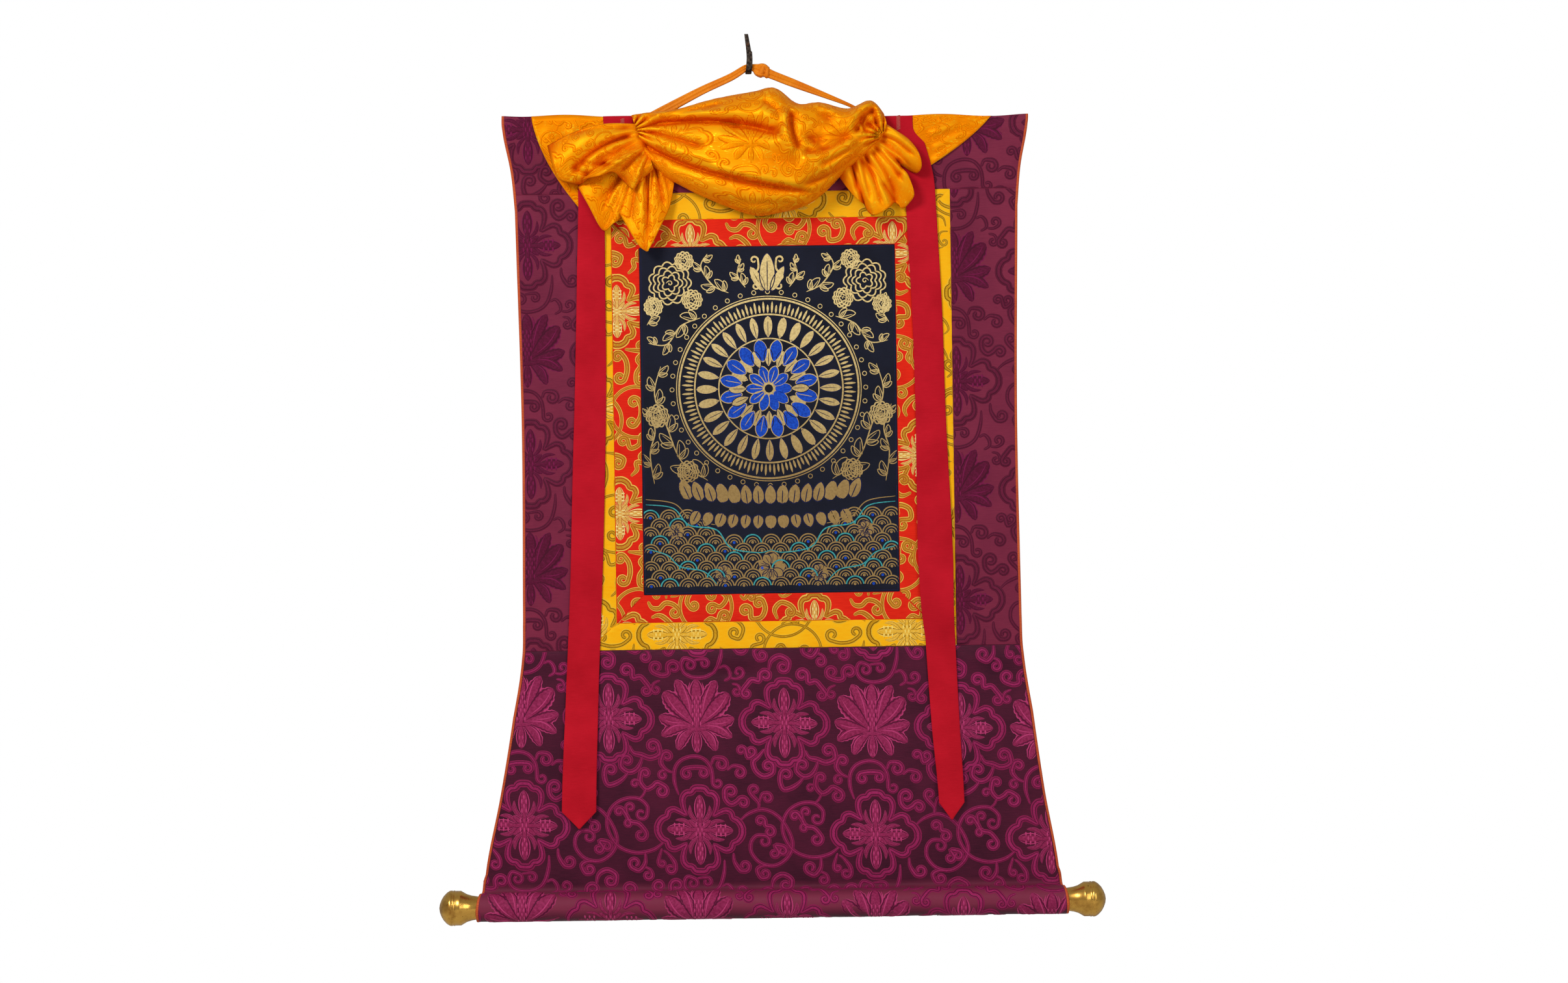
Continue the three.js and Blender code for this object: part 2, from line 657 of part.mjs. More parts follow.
const foldsRise = (folds, x, z) => folds.reduce((sum, fold) => sum + foldRise(fold, x, z), 0);

// The flat part hangs in front of the heading, cut away along a curve at each side.
const veilLeft = { from: [-359, 467], via: [-346, 398], to: [-283, 324] };
const veilRight = { from: [350, 465], via: [318, 424], to: [232, 374] };
const veilGap = 0.9;
const veilFolds = [
  { from: [300, 455], via: [262, 440], to: [252, 432], deep: -2.4, wide: 6, step: 0 },
  { from: [318, 440], via: [276, 424], to: [256, 412], deep: -2.8, wide: 7, step: 0 },
  { from: [300, 424], via: [276, 404], to: [252, 392], deep: -2.4, wide: 6, step: 0 },
  { from: [-300, 462], via: [-290, 420], to: [-262, 380], deep: -2, wide: 8, step: 0 },
];
function veilFlat() {
  const lift = 66;
  const point = (u, v) => {
    const [lx, lz] = curvePoint(veilLeft, v);
    const [rx, rz] = curvePoint(veilRight, v);
    const x = lerp(lx, rx, u);
    const cut = lerp(lz, rz, u) + lift * Math.sin(Math.PI * u) * v;
    const z = v === 0 ? topEdge(x) : Math.min(cut, topEdge(x) - v);
    const out = veilGap + flatThick / 2 + foldsRise(veilFolds, x, z);
    return new THREE.Vector3(x, frontOf(x, z) - out, z);
  };
  return sheet(point, 20, 6, flatThick);
}

// The swag, as sections from the left gather to the right one: the upper edge, the lower edge, the
// fullness and the distance of the back from the mount.
const swagRows = [
  { topX: -205, topZ: 470, lowX: -180, lowZ: 400, full: 15, back: 1.4 },
  { topX: -172, topZ: 474, lowX: -160, lowZ: 381, full: 30, back: 1.4 },
  { topX: -137, topZ: 477, lowX: -141, lowZ: 367, full: 42, back: 1.4 },
  { topX: -77, topZ: 492, lowX: -79, lowZ: 336, full: 60, back: 1.4 },
  { topX: -17, topZ: 502, lowX: -19, lowZ: 314, full: 70, back: 1.4 },
  { topX: 16, topZ: 507, lowX: 18, lowZ: 317, full: 73, back: 1.4 },
  { topX: 50, topZ: 483, lowX: 56, lowZ: 326, full: 70, back: 1.4 },
  { topX: 85, topZ: 484, lowX: 87, lowZ: 345, full: 64, back: 1.4 },
  { topX: 127, topZ: 474, lowX: 122, lowZ: 379, full: 56, back: 1.4 },
  { topX: 162, topZ: 486, lowX: 150, lowZ: 402, full: 46, back: 2.6 },
  { topX: 182, topZ: 466, lowX: 188, lowZ: 441, full: 24, back: 7 },
];
const swagFolds = [
  { from: [-150, 462], via: [-60, 467], to: [32, 428], deep: 13, wide: 11, step: 5 },
  { from: [-56, 456], via: [0, 454], to: [36, 436], deep: 17, wide: 13, step: 0 },
  { from: [-192, 436], via: [-118, 372], to: [78, 346], deep: 7, wide: 8, step: 11 },
  { from: [-196, 450], via: [-150, 440], to: [-90, 420], deep: 5, wide: 9, step: 0 },
  { from: [42, 470], via: [38, 432], to: [56, 408], deep: 5, wide: 9, step: -18 },
  { from: [54, 408], via: [92, 396], to: [134, 434], deep: 0, wide: 11, step: -15 },
  { from: [100, 470], via: [84, 440], to: [66, 414], deep: 14, wide: 20, step: 0 },
  { from: [138, 434], via: [146, 464], to: [172, 470], deep: 13, wide: 8, step: 10 },
  { from: [146, 442], via: [158, 448], to: [176, 450], deep: 16, wide: 12, step: 0 },
];
// The section swells as a power of a sine, and the folds cut into it no deeper than a share of it. Its
// back is flat, and turns forward near the two edges.
const swagTurn = 5;
const swagSwell = 0.62;
const swagLeast = 0.4;
const swagFoldEase = 1.4;
const swagBackInset = 0.03;
function swag(stations, frontSteps, backSteps) {
  const columns = ["topX", "topZ", "lowX", "lowZ", "full", "back"];
  const rings = Array.from({ length: stations + 1 }, (_, i) => {
    const row = alongRows(swagRows, columns, i / stations);
    const at = (s, out) => inFront(lerp(row.topX, row.lowX, s), out, lerp(row.topZ, row.lowZ, s));
    const ring = [];
    for (let j = 0; j <= frontSteps; j += 1) {
      const a = (Math.PI * j) / frontSteps;
      const s = (1 - Math.cos(a)) / 2;
      const round = Math.sin(a) ** swagSwell;
      const { x, z } = at(s, 0);
      const full = row.full * round;
      const folds = foldsRise(swagFolds, x, z) * Math.min(1, round * swagFoldEase);
      const folded = Math.max(full + folds, full * swagLeast);
      ring.push(at(s, row.back + swagTurn * (1 - round) + folded));
    }
    for (let j = backSteps - 1; j > 0; j -= 1) {
      const s = j / backSteps;
      const inset = lerp(swagBackInset, 1 - swagBackInset, s);
      ring.push(at(inset, row.back + swagTurn * (2 * s - 1) ** 6));
    }
    return ring;
  });
  return loft(rings);
}

// A fan of cloth spread from a short root to a pleated hem. Each row is a crest, a hollow or a turn of
// the hem.
const leftLobe = {
  root: { from: [-192, 456], to: [-176, 402], out: 9 },
  belly: 14,
  crown: 13,
  hem: [
    { x: -334, z: 424.6, out: 14 },
    { x: -326, z: 394, out: 27 },
    { x: -317.5, z: 373, out: 25 },
    { x: -299, z: 366, out: 20 },
    { x: -283, z: 366, out: 12 },
    { x: -279, z: 371, out: 26 },
    { x: -254, z: 375, out: 42 },
    { x: -234, z: 382, out: 38 },
    { x: -221, z: 372, out: 20 },
    { x: -204, z: 356, out: 30 },
    { x: -193, z: 368, out: 17 },
    { x: -172, z: 386, out: 24 },
  ],
};
const leftTails = {
  root: { from: [-196, 436], to: [-168, 402], out: 8 },
  belly: 3,
  crown: 0,
  hem: [
    { x: -289, z: 362, out: 8 },
    { x: -274, z: 335, out: 14 },
    { x: -252, z: 295, out: 10 },
    { x: -235, z: 304, out: 15 },
    { x: -222, z: 314, out: 8.5 },
    { x: -224, z: 318, out: 15 },
    { x: -199, z: 274, out: 25 },
    { x: -186, z: 261, out: 22 },
    { x: -179, z: 265, out: 29 },
    { x: -159.5, z: 304, out: 18 },
    { x: -148, z: 330, out: 12 },
    { x: -141, z: 365, out: 9 },
  ],
};
const rightFan = {
  root: { from: [176, 446], to: [118, 396], out: 16 },
  belly: 8,
  crown: 4,
  hem: [
    { x: 194, z: 444, out: 14 },
    { x: 218, z: 425.5, out: 28 },
    { x: 234, z: 404, out: 32 },
    { x: 239, z: 385, out: 28 },
    { x: 233, z: 375, out: 18 },
    { x: 222, z: 379, out: 10 },
    { x: 209, z: 388, out: 8.5 },
    { x: 207, z: 384, out: 20 },
    { x: 218, z: 368, out: 31 },
    { x: 227, z: 342, out: 27 },
    { x: 219, z: 328, out: 17 },
    { x: 209, z: 321, out: 10 },
    { x: 198, z: 330, out: 15 },
    { x: 188, z: 321, out: 28 },
    { x: 168, z: 310, out: 29 },
    { x: 158, z: 315, out: 18 },
    { x: 151, z: 328, out: 11 },
    { x: 141, z: 334, out: 27 },
    { x: 129, z: 348, out: 24 },
    { x: 114, z: 370, out: 12 },
  ],
};
const fanFlare = 1.5;
function fan(shape, across, down) {
  const { root, belly, crown, hem } = shape;
  const point = (u, v) => {
    const edge = alongRows(hem, ["x", "z", "out"], u);
    const x = lerp(lerp(root.from[0], root.to[0], u), edge.x, v);
    const bowed = crown * Math.sin(Math.PI * v) * (1 - u) ** 3;
    const z = lerp(lerp(root.from[1], root.to[1], u), edge.z, v) + bowed;
    const spread = 1 - (1 - v) ** fanFlare;
    return inFront(x, lerp(root.out, edge.out, spread) + belly * Math.sin(Math.PI * v), z);
  };
  return sheet(point, across, down, silkThick);
}
const fans = [fan(leftLobe, 22, 6), fan(leftTails, 22, 6), fan(rightFan, 38, 6)];
place("veil", joined([veilFlat(), swag(36, 24, 4), ...fans]), "silk");

// The origin is where the hook's back meets the wall.
const root = new THREE.Group();
scroll.position.set(-hookAt.x, 0, -hookAt.z);
root.add(scroll);
export default root;
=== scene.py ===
import math

import bpy
import numpy as np
from mathutils import Matrix, Vector


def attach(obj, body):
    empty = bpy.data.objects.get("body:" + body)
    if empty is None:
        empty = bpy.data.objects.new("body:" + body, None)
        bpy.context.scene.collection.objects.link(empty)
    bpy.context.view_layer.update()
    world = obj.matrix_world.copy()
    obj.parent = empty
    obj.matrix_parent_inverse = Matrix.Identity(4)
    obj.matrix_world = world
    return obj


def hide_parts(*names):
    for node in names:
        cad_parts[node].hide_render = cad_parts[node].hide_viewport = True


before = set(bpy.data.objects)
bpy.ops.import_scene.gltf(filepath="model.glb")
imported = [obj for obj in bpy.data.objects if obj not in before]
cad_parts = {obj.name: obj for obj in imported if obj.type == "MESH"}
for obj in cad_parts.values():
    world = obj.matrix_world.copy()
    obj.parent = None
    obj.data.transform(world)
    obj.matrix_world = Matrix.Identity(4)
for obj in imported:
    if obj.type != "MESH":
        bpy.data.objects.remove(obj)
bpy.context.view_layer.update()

# Camera and studio. The scroll is seen square on from five metres and turned by a little less than a
# degree, as it hangs in the photograph. The light is plain and soft, fuller from the upper left, over a
# pale floor in a white room.
photo_wide, pixel_size = 2413, 0.001
seen_from = 5.0
camera_turn = math.radians(0.85)
aimed_at = (0.0454, -0.011, -0.6907)

camera_data = bpy.data.cameras.new("camera")
camera_data.sensor_width = 36
camera_data.lens = camera_data.sensor_width * seen_from / (photo_wide * pixel_size)
camera = bpy.data.objects.new("camera", camera_data)
camera.location = (aimed_at[0], aimed_at[1] - seen_from, aimed_at[2])
across_view, up_view = math.cos(camera_turn), math.sin(camera_turn)
camera.rotation_euler = Matrix(
    ((across_view, up_view, 0), (0, 0, -1), (-up_view, across_view, 0))
).to_euler()
bpy.context.collection.objects.link(camera)
bpy.context.scene.camera = camera
bpy.context.scene.view_settings.view_transform = "Standard"


def recipe(tree):
    """Gives a function that adds a shader node to the tree, sets its options and feeds its inputs by name
    or number."""
    def add(kind, feeds=(), **options):
        node = tree.nodes.new(kind if kind.startswith("Node") else "ShaderNode" + kind)
        for name, value in options.items():
            setattr(node, name, value)
        for socket, value in dict(feeds).items():
            if isinstance(value, bpy.types.NodeSocket):
                tree.links.new(value, node.inputs[socket])
            else:
                node.inputs[socket].default_value = value
        return node
    return add


def dye(red, green, blue):
    """A colour as the eye names it, each part from 0 to 255, turned into the shader's own linear scale."""
    parts = np.array([red, green, blue]) / 255
    linear = np.where(parts <= 0.04045, parts / 12.92, ((parts + 0.055) / 1.055) ** 2.4)
    return (*(float(part) for part in linear), 1.0)


# The room looks white, and lights the scroll more weakly than it looks, so that the lamps can shape the
# folds.
world = bpy.data.worlds.new("studio")
world.use_nodes = True
world.node_tree.nodes.clear()
add = recipe(world.node_tree)
seen = add("Background", {"Color": (1, 1, 1, 1), "Strength": 1.0})
shed = add("Background", {"Color": (1.0, 0.99, 0.98, 1), "Strength": 0.34})
looked_at = add("LightPath").outputs["Is Camera Ray"]
room = add("MixShader", {0: looked_at, 1: shed.outputs[0], 2: seen.outputs[0]})
add("OutputWorld", {"Surface": room.outputs[0]})
bpy.context.scene.world = world

floor_finish = bpy.data.materials.new("pale_floor")
floor_finish.use_nodes = True
floor_shader = floor_finish.node_tree.nodes["Principled BSDF"]
floor_shader.inputs["Base Color"].default_value = dye(226, 224, 220)
floor_shader.inputs["Roughness"].default_value = 0.8
floor_level = -1.6
floor_corners = ((-3, -4), (3, -4), (3, 0.5), (-3, 0.5))
floor_mesh = bpy.data.meshes.new("floor")
floor_mesh.from_pydata([(x, y, floor_level) for x, y in floor_corners], [], [(0, 1, 2, 3)])
floor_mesh.materials.append(floor_finish)
floor = bpy.data.objects.new("floor", floor_mesh)
bpy.context.collection.objects.link(floor)

# Columns: name, place, size in metres and power in watts. Each lamp is a square of soft light that faces
# the scroll's middle.
for lamp_name, lamp_at, lamp_size, lamp_power in (
    ("key_light", (-2.0, -3.2, 1.5), 1.2, 92),
    ("fill_light", (2.6, -3.4, 0.2), 2.2, 38),
):
    lamp_data = bpy.data.lights.new(lamp_name, "AREA")
    lamp_data.size = lamp_size
    lamp_data.energy = lamp_power
    lamp = bpy.data.objects.new(lamp_name, lamp_data)
    lamp.location = lamp_at
    lamp.rotation_euler = (Vector(aimed_at) - Vector(lamp_at)).to_track_quat("-Z", "Y").to_euler()
    bpy.context.collection.objects.link(lamp)


# Painting. A cotton canvas sized with chalk and painted navy blue. It is stretched between the borders, and
# all the cloths hang in its plane. Sizes here and below are in millimetres from the painting's middle, and
# in_frame turns them into the model's metres.
hook_x, hook_z = -24.5, 580
painting_half_x, painting_half_z = 196.7, 267
hang_y = -11
cloth_thick = 2
rod_z = -742
pocket_still_z, pocket_ease_tall = -702, 60
# Columns: x, z, width, height and rise of each soft swelling of the hung cloth.
swellings = (
    (-402, 452, 34, 55, 8), (404, 455, 30, 50, 5), (-382, 230, 26, 150, 3), (384, 60, 26, 190, 3),
    (-60, 60, 150, 190, 1.6), (-120, -368, 120, 8, 2.6), (-70, -388, 95, 7, -2.2),
    (330, -372, 60, 12, 2.4), (-20, -540, 330, 120, 4), (-395, -590, 34, 110, 4), (392, -560, 34, 110, 4),
)


def in_frame(x, y, z):
    """Points in the model's frame, in metres, from millimetres off the painting's middle."""
    x, y, z = np.broadcast_arrays(x, y, z)
    return np.stack([(x - hook_x) / 1000, y / 1000, (z - hook_z) / 1000], axis=-1)


def bell(distance, reach):
    """A bell curve: 1 at no distance, falling as the exponential of the square."""
    return np.exp(-((distance / reach) ** 2))


def ease(t):
    """0 below 0, 1 above 1, and a smooth S between."""
    t = np.clip(t, 0, 1)
    return t * t * (3 - 2 * t)


def unit(vectors):
    """The same directions, each with a length of one."""
    return vectors / np.maximum(np.linalg.norm(vectors, axis=-1, keepdims=True), 1e-12)


def normals(points):
    """The directions square to a grid of points: down its rows crossed with along them."""
    return unit(np.cross(np.gradient(points, axis=0), np.gradient(points, axis=1)))


def hung(x, z):
    """How far the cloths' middle surface stands from the wall: flat, less a sum of round swellings over the
    rod."""
    still = ease((z - pocket_still_z) / pocket_ease_tall)
    rise = sum(
        high * bell(x - at_x, wide) * bell(z - at_z, tall) for at_x, at_z, wide, tall, high in swellings
    )
    return hang_y - still * rise


def stops(length, step):
    """Shares from 0 to 1 of a length, about a step apart, with two closer ones at each end for a rounded
    edge."""
    closest, next_one = 0.7, 2.2
    ends = np.array([0, closest])
    middle = np.linspace(next_one, length - next_one, max(2, round(length / step)))
    return np.concatenate([ends, middle, length - ends[::-1]]) / length


def turned_edge(from_side, from_end, along):
    """How far a panel sinks towards its seams: a narrow dip at the stitches and small puckers beside
    them."""
    dip_deep, dip_wide, pucker_wide = 0.7, 1.4, 9
    dip = dip_deep * (bell(from_side, dip_wide) + bell(from_end, dip_wide))
    waves = np.sin(along / 5.1 + 1.7 * np.sin(along / 23)) * (0.16 + 0.1 * np.sin(along / 61))
    return dip + waves * (bell(from_side, pucker_wide) + bell(from_end, pucker_wide))


def make_piece(name, points, faces, flat, finish, **marks):
    """A mesh object at the origin. flat is each point's place on the flat cloth, and marks are values at
    the points."""
    mesh = bpy.data.meshes.new(name)
    mesh.from_pydata(points, [], faces)
    corners = np.empty(len(mesh.loops), np.int32)
    mesh.loops.foreach_get("vertex_index", corners)
    layer = mesh.uv_layers.new(name="UVMap")
    layer.data.foreach_set("uv", np.asarray(flat, np.float32)[corners].ravel())
    for mark, values in marks.items():
        mesh.attributes.new(mark, "FLOAT", "POINT").data.foreach_set("value", np.asarray(values, np.float32))
    mesh.shade_smooth()
    mesh.materials.append(finish)
    piece = bpy.data.objects.new(name, mesh)
    bpy.context.collection.objects.link(piece)
    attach(piece, "root")
    return piece


def sheet_faces(rows, columns):
    """Quads over a grid of points numbered row by row, facing the side on which the rows run down and
    right."""
    number = np.arange(rows * columns).reshape(rows, columns)
    corners = (number[:-1, :-1], number[1:, :-1], number[1:, 1:], number[:-1, 1:])
    return np.stack([corner.ravel() for corner in corners], axis=1)


def sheet_arrays(middle, flat, thick, back=0.5):
    """Points, faces and flat places of a closed sheet round a grid of middle points. Each face is the
    middle moved along its normal, and a rim of quads joins the two. thick, one number or a grid, is in
    metres, and the share `back` of it lies behind."""
    normal = normals(middle)
    rows, columns = middle.shape[:2]
    thick = np.broadcast_to(thick, (rows, columns))[..., None]
    back = np.broadcast_to(back, (rows, columns))[..., None]
    front = middle + normal * thick * (1 - back)
    rear = middle - normal * thick * back
    count = rows * columns
    number = np.arange(count).reshape(rows, columns)
    ring = np.concatenate([number[0, :-1], number[:-1, -1], number[-1, :0:-1], number[:0:-1, 0]])
    after = np.roll(ring, -1)
    rim = np.stack([ring, after, after + count, ring + count], axis=1)
    face = sheet_faces(rows, columns)
    faces = np.concatenate([face, face[:, ::-1] + count, rim])
    points = np.concatenate([front.reshape(-1, 3), rear.reshape(-1, 3)])
    return points, faces, np.tile(flat.reshape(-1, 2), (2, 1))


def make_sheet(name, middle, flat, thick, finish, back=0.5):
    """A closed sheet round a grid of middle points, as one piece."""
    points, faces, places = sheet_arrays(middle, flat, thick, back)
    return make_piece(name, points, faces, places, finish)


def straight_panel(name, corners, step, finish):
    """A hung panel between four corners, top left, top right, bottom right and bottom left: straight lines
    between the sides give x and z, and the hung surface less the turned edge gives y."""
    (tlx, tlz), (trx, trz), (brx, brz), (blx, blz) = corners
    wide, tall = max(trx - tlx, brx - blx), max(tlz - blz, trz - brz)
    u, v = np.meshgrid(stops(wide, step), stops(tall, step))
    x = (tlx + (trx - tlx) * u) * (1 - v) + (blx + (brx - blx) * u) * v
    z = (tlz + (trz - tlz) * u) * (1 - v) + (blz + (brz - blz) * u) * v
    width_here = (trx - tlx) * (1 - v) + (brx - blx) * v
    height_here = (tlz - blz) * (1 - u) + (trz - brz) * u
    dip = turned_edge(np.minimum(u, 1 - u) * width_here, np.minimum(v, 1 - v) * height_here, x + z)
    middle = in_frame(x, hung(x, z) + dip, z)
    return make_sheet(name, middle, middle[..., ::2], cloth_thick / 1000, finish)


weave = bpy.data.node_groups.new("weave", "ShaderNodeTree")
for socket_name, socket_kind, in_out in (
    ("Place", "NodeSocketVector", "INPUT"),
    ("Warp per metre", "NodeSocketFloat", "INPUT"),
    ("Weft per metre", "NodeSocketFloat", "INPUT"),
    ("Thread", "NodeSocketFloat", "OUTPUT"),
    ("Slub", "NodeSocketFloat", "OUTPUT"),
    ("Cloud", "NodeSocketFloat", "OUTPUT"),
):
    weave.interface.new_socket(socket_name, in_out=in_out, socket_type=socket_kind)
add = recipe(weave)
ins = add("NodeGroupInput")
place = add("SeparateXYZ", {0: ins.outputs["Place"]})


def math_node(add, operation, a, b=0.0, c=0.0):
    """One step of arithmetic between numbers or sockets."""
    return add("Math", {0: a, 1: b, 2: c}, operation=operation).outputs[0]


def times(add, a, b, plus=None):
    """Two numbers or sockets multiplied, and a third added if there is one."""
    if plus is None:
        return math_node(add, "MULTIPLY", a, b)
    return math_node(add, "MULTIPLY_ADD", a, b, plus)


def noise(add, place, scale, detail, **feeds):
    """Soft noise over a place, from 0 to 1, so many times a metre."""
    return add("TexNoise", {"Vector": place, "Scale": scale, "Detail": detail} | feeds).outputs["Fac"]


warp = times(add, place.outputs["X"], ins.outputs["Warp per metre"])
weft = times(add, place.outputs["Y"], ins.outputs["Weft per metre"])
warp_wave = math_node(add, "SINE", times(add, warp, math.pi))
weft_wave = math_node(add, "SINE", times(add, weft, math.pi))
thread = times(add, times(add, warp_wave, weft_wave), 0.5, 0.5)
threadwise = add("VectorMath", {0: ins.outputs["Place"], 1: (60, 900, 1)}, operation="MULTIPLY").outputs[0]
slub = noise(add, threadwise, 1, 3)
cloud = noise(add, ins.outputs["Place"], 14, 4)
add("NodeGroupOutput", {"Thread": thread, "Slub": slub, "Cloud": cloud})


def mixed(add, share, low, high):
    """A colour between two, by a share from 0 to 1."""
    return add("Mix", {0: share, 6: low, 7: high}, data_type="RGBA").outputs[2]


def spread(add, value, low, high, to_low=0.0, to_high=1.0):
    """A value read from one range into another, and held at its ends."""
    return add("MapRange", {0: value, 1: low, 2: high, 3: to_low, 4: to_high}).outputs[0]


def faded(add, value, low, high, first, second):
    """A colour that goes from one to another while the value goes from low to high."""
    return mixed(add, spread(add, value, low, high), first, second)


def finish_material(name, colour, roughness, height, strength, **shader):
    """A material with a Principled shader. colour, roughness and height are sockets made by its caller's
    recipe."""
    material = bpy.data.materials[name]
    add = recipe(material.node_tree)
    bump = add("Bump", {"Height": height, "Strength": strength, "Distance": 0.0004})
    feeds = {"Base Color": colour, "Roughness": roughness, "Normal": bump.outputs[0]}
    shader = {"Specular_IOR_Level": 0.14} | shader
    surface = add("BsdfPrincipled", feeds | {key.replace("_", " "): value for key, value in shader.items()})
    add("OutputMaterial", {"Surface": surface.outputs[0]})
    return material


def new_material(name):
    """An empty material and its recipe."""
    material = bpy.data.materials.new(name)
    material.use_nodes = True
    material.node_tree.nodes.clear()
    return recipe(material.node_tree)


def woven(add, place, warp, weft):
    """The weave group laid on a flat place, with so many threads a metre each way."""
    feeds = {"Place": place, "Warp per metre": warp, "Weft per metre": weft}
    return add("Group", feeds, node_tree=weave)


def place_on(add, kind):
    """A point's place on the object, or on the flat cloth where the kind is UV."""
    return add("TexCoord").outputs[kind]


def rod_top_highlight(add):
    """Where the painted highlight goes on the mount's cloth: 1 where it turns over the top of the rod, and 0
    well above it and underneath.
    """
    under, above = (-1.336, -1.318), (-1.302, -1.282)
    place = place_on(add, "Object")
    up = times(add, noise(add, place, 9, 2), 0.012, add("SeparateXYZ", {0: place}).outputs["Z"])
    return times(add, spread(add, up, *under), spread(add, up, *above, 0.75, 0.0))


def cloth_material(name, dark, light, threads, rough, strength, sheen, cloudy=0.5, rod_highlight_colour=None, **shader):
    """Plain woven cloth: its dye varies softly over the cloth and from thread to thread, and the threads
    stand up. The colour given for the rod's turn is a painted highlight: the satin is made paler where it
    turns over the top of the rod."""
    add = new_material(name)
    uv = place_on(add, "UV")
    fabric = woven(add, uv, *threads)
    streak = times(add, fabric.outputs["Slub"], 1 - cloudy, 0.0)
    tone = times(add, fabric.outputs["Cloud"], cloudy, streak)
    tone = times(add, fabric.outputs["Thread"], 0.16, math_node(add, "SUBTRACT", tone, 0.08))
    colour = faded(add, tone, 0.3, 0.7, dark, light)
    if rod_highlight_colour:
        # Painted highlight: a paler colour on the top of the rod pocket, where the light falls on the turn.
        colour = mixed(add, rod_top_highlight(add), colour, rod_highlight_colour)
    roughness = spread(add, tone, 0.2, 0.8, rough + 0.07, rough - 0.07)
    height = times(add, fabric.outputs["Slub"], 0.8, fabric.outputs["Thread"])
    shader = {"Sheen_Weight": sheen * 0.3, "Sheen_Roughness": 0.4} | shader
    return finish_material(name, colour, roughness, height, strength, **shader)


canvas_finish = cloth_material(
    "painted_canvas", dye(13, 15, 28), dye(22, 25, 44), (1800, 1800), 0.62, 0.25, 0.05, cloudy=0.8
)
painting_corners = [
    (x * painting_half_x, z * painting_half_z) for x, z in ((-1, 1), (1, 1), (1, -1), (-1, -1))
]
painting = straight_panel("painting_canvas", painting_corners, 6, canvas_finish)
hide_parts("painting")

# Red border. Four strips of red silk brocade with gold vines and cream flowers, cut from a longer length,
# mitred at the corners and seamed round the painting. The vines stand a little above the satin ground.
seam = 0.3
red_wide, red_tall = 42.6, 42.6


def along_rows(rows, t):
    """A smooth curve through the rows of a table, read at each t in rows from the first: a Catmull-Rom
    curve."""
    rows = np.asarray(rows, float)
    t = np.clip(t, 0, len(rows) - 1)
    first = np.minimum(t.astype(int), len(rows) - 2)
    f = (t - first)[..., None]
    p0, p1, p2, p3 = (rows[np.clip(first + k, 0, len(rows) - 1)] for k in (-1, 0, 1, 2))
    return p1 + 0.5 * f * (p2 - p0 + f * (2 * p0 - 5 * p1 + 4 * p2 - p3 + f * (3 * (p1 - p2) + p3 - p0)))


def lengths(path):
    """The length of a path up to each of its points."""
    return np.concatenate([[0], np.cumsum(np.linalg.norm(np.diff(path, axis=0), axis=1))])


def even_line(points, step, closed=False):
    """Points about a step apart on a smooth curve through the given ones, read at even lengths along it."""
    points = np.asarray(points, float)
    spans = len(points) if closed else len(points) - 1
    wrapped = np.concatenate([points[-2:], points, points[:3]]) if closed else points
    curve = along_rows(wrapped, np.linspace(0, spans, 8 * spans + 1) + (2 if closed else 0))
    length = lengths(curve)
    even = np.linspace(0, length[-1], max(3, round(length[-1] / step)) + 1)
    return np.stack([np.interp(even, length, curve[:, k]) for k in (0, 1)], axis=1)


def curl(place, towards):
    """Points of a curl (x, z, radius, hand), from where a line from `towards` touches its circle and on
    into its middle: the angle grows evenly, to the left for hand 1, while the radius shrinks."""
    x, z, radius, hand = place
    off = (towards[0] - x, towards[1] - z)
    turns = 0.95
    start = math.atan2(off[1], off[0]) + hand * math.acos(min(1, radius / max(math.hypot(*off), radius)))
    t = np.linspace(0, 1, 11)
    angle = start + hand * turns * 2 * math.pi * t
    shrunk = radius * (1 - 0.6 * t)
    return np.stack([x + shrunk * np.cos(angle), z + shrunk * np.sin(angle)], axis=1)


VINE, PETAL, KNOT = 0, 1, 2
strip_step = 2.6


def between(low, high, share):
    """A value a share of the way from one to another."""
    return low + (high - low) * share


def vine(half, *points):
    """A band from one curl or point to another. It is narrower where it ends in a point, and its ends are
    round."""
    first = curl(points[0], points[1])[::-1] if len(points[0]) > 2 else np.array([points[0]])
    last = curl(points[-1], points[-2]) if len(points[-1]) > 2 else np.array([points[-1]])
    path = even_line(np.concatenate([first, np.reshape(points[1:-1], (-1, 2)), last]), strip_step)
    from_start = np.arange(len(path)) * strip_step
    from_end = from_start[-1] - from_start
    taper = [0.9 if len(end) > 2 else 0.55 for end in (points[0], points[-1])]
    taper_long = 26
    width = between(taper[0], 1, ease(from_start / taper_long))
    width = width * between(taper[1], 1, ease(from_end / taper_long))
    width = width * np.sqrt(np.clip(np.minimum(from_start, from_end) / 3 + 0.15, 0, 1))
    return path, half * width, VINE


def ring_band(points, half):
    """A closed band along a smooth ring of points, a little fuller at the crest of each scallop."""
    path = even_line(points, strip_step, closed=True)
    away = np.hypot(*(path - path.mean(axis=0)).T)
    return path, half * (1 + 0.8 * (away / away.mean() - 1)), VINE


def petal(base, tip, half, bend=0.0, fat=1.3, scallops=0.0):
    """A petal: its spine bows sideways as a sine, and its half width swells as the sine of a power of the
    length, so that a higher power brings the fullest place nearer the tip. Scallops ripple the edge."""
    base, tip = np.array(base, float), np.array(tip, float)
    run = tip - base
    length = math.hypot(*run)
    t = np.linspace(0, 1, max(8, round(length / strip_step)))
    aside = np.array([-run[1], run[0]]) / length
    path = base + run * t[:, None] + aside * (bend * np.sin(math.pi * t))[:, None]
    swell = np.clip(np.sin(math.pi * t**fat), 0.02, 1) ** 0.55
    return path, half * swell * (1 + scallops * np.cos(length * t * 0.75) * t), PETAL


def mirrored(strokes):
    """The strokes and their mirror images left and right of the middle."""
    return strokes + [(path * (-1, 1), half, kind) for path, half, kind in strokes]


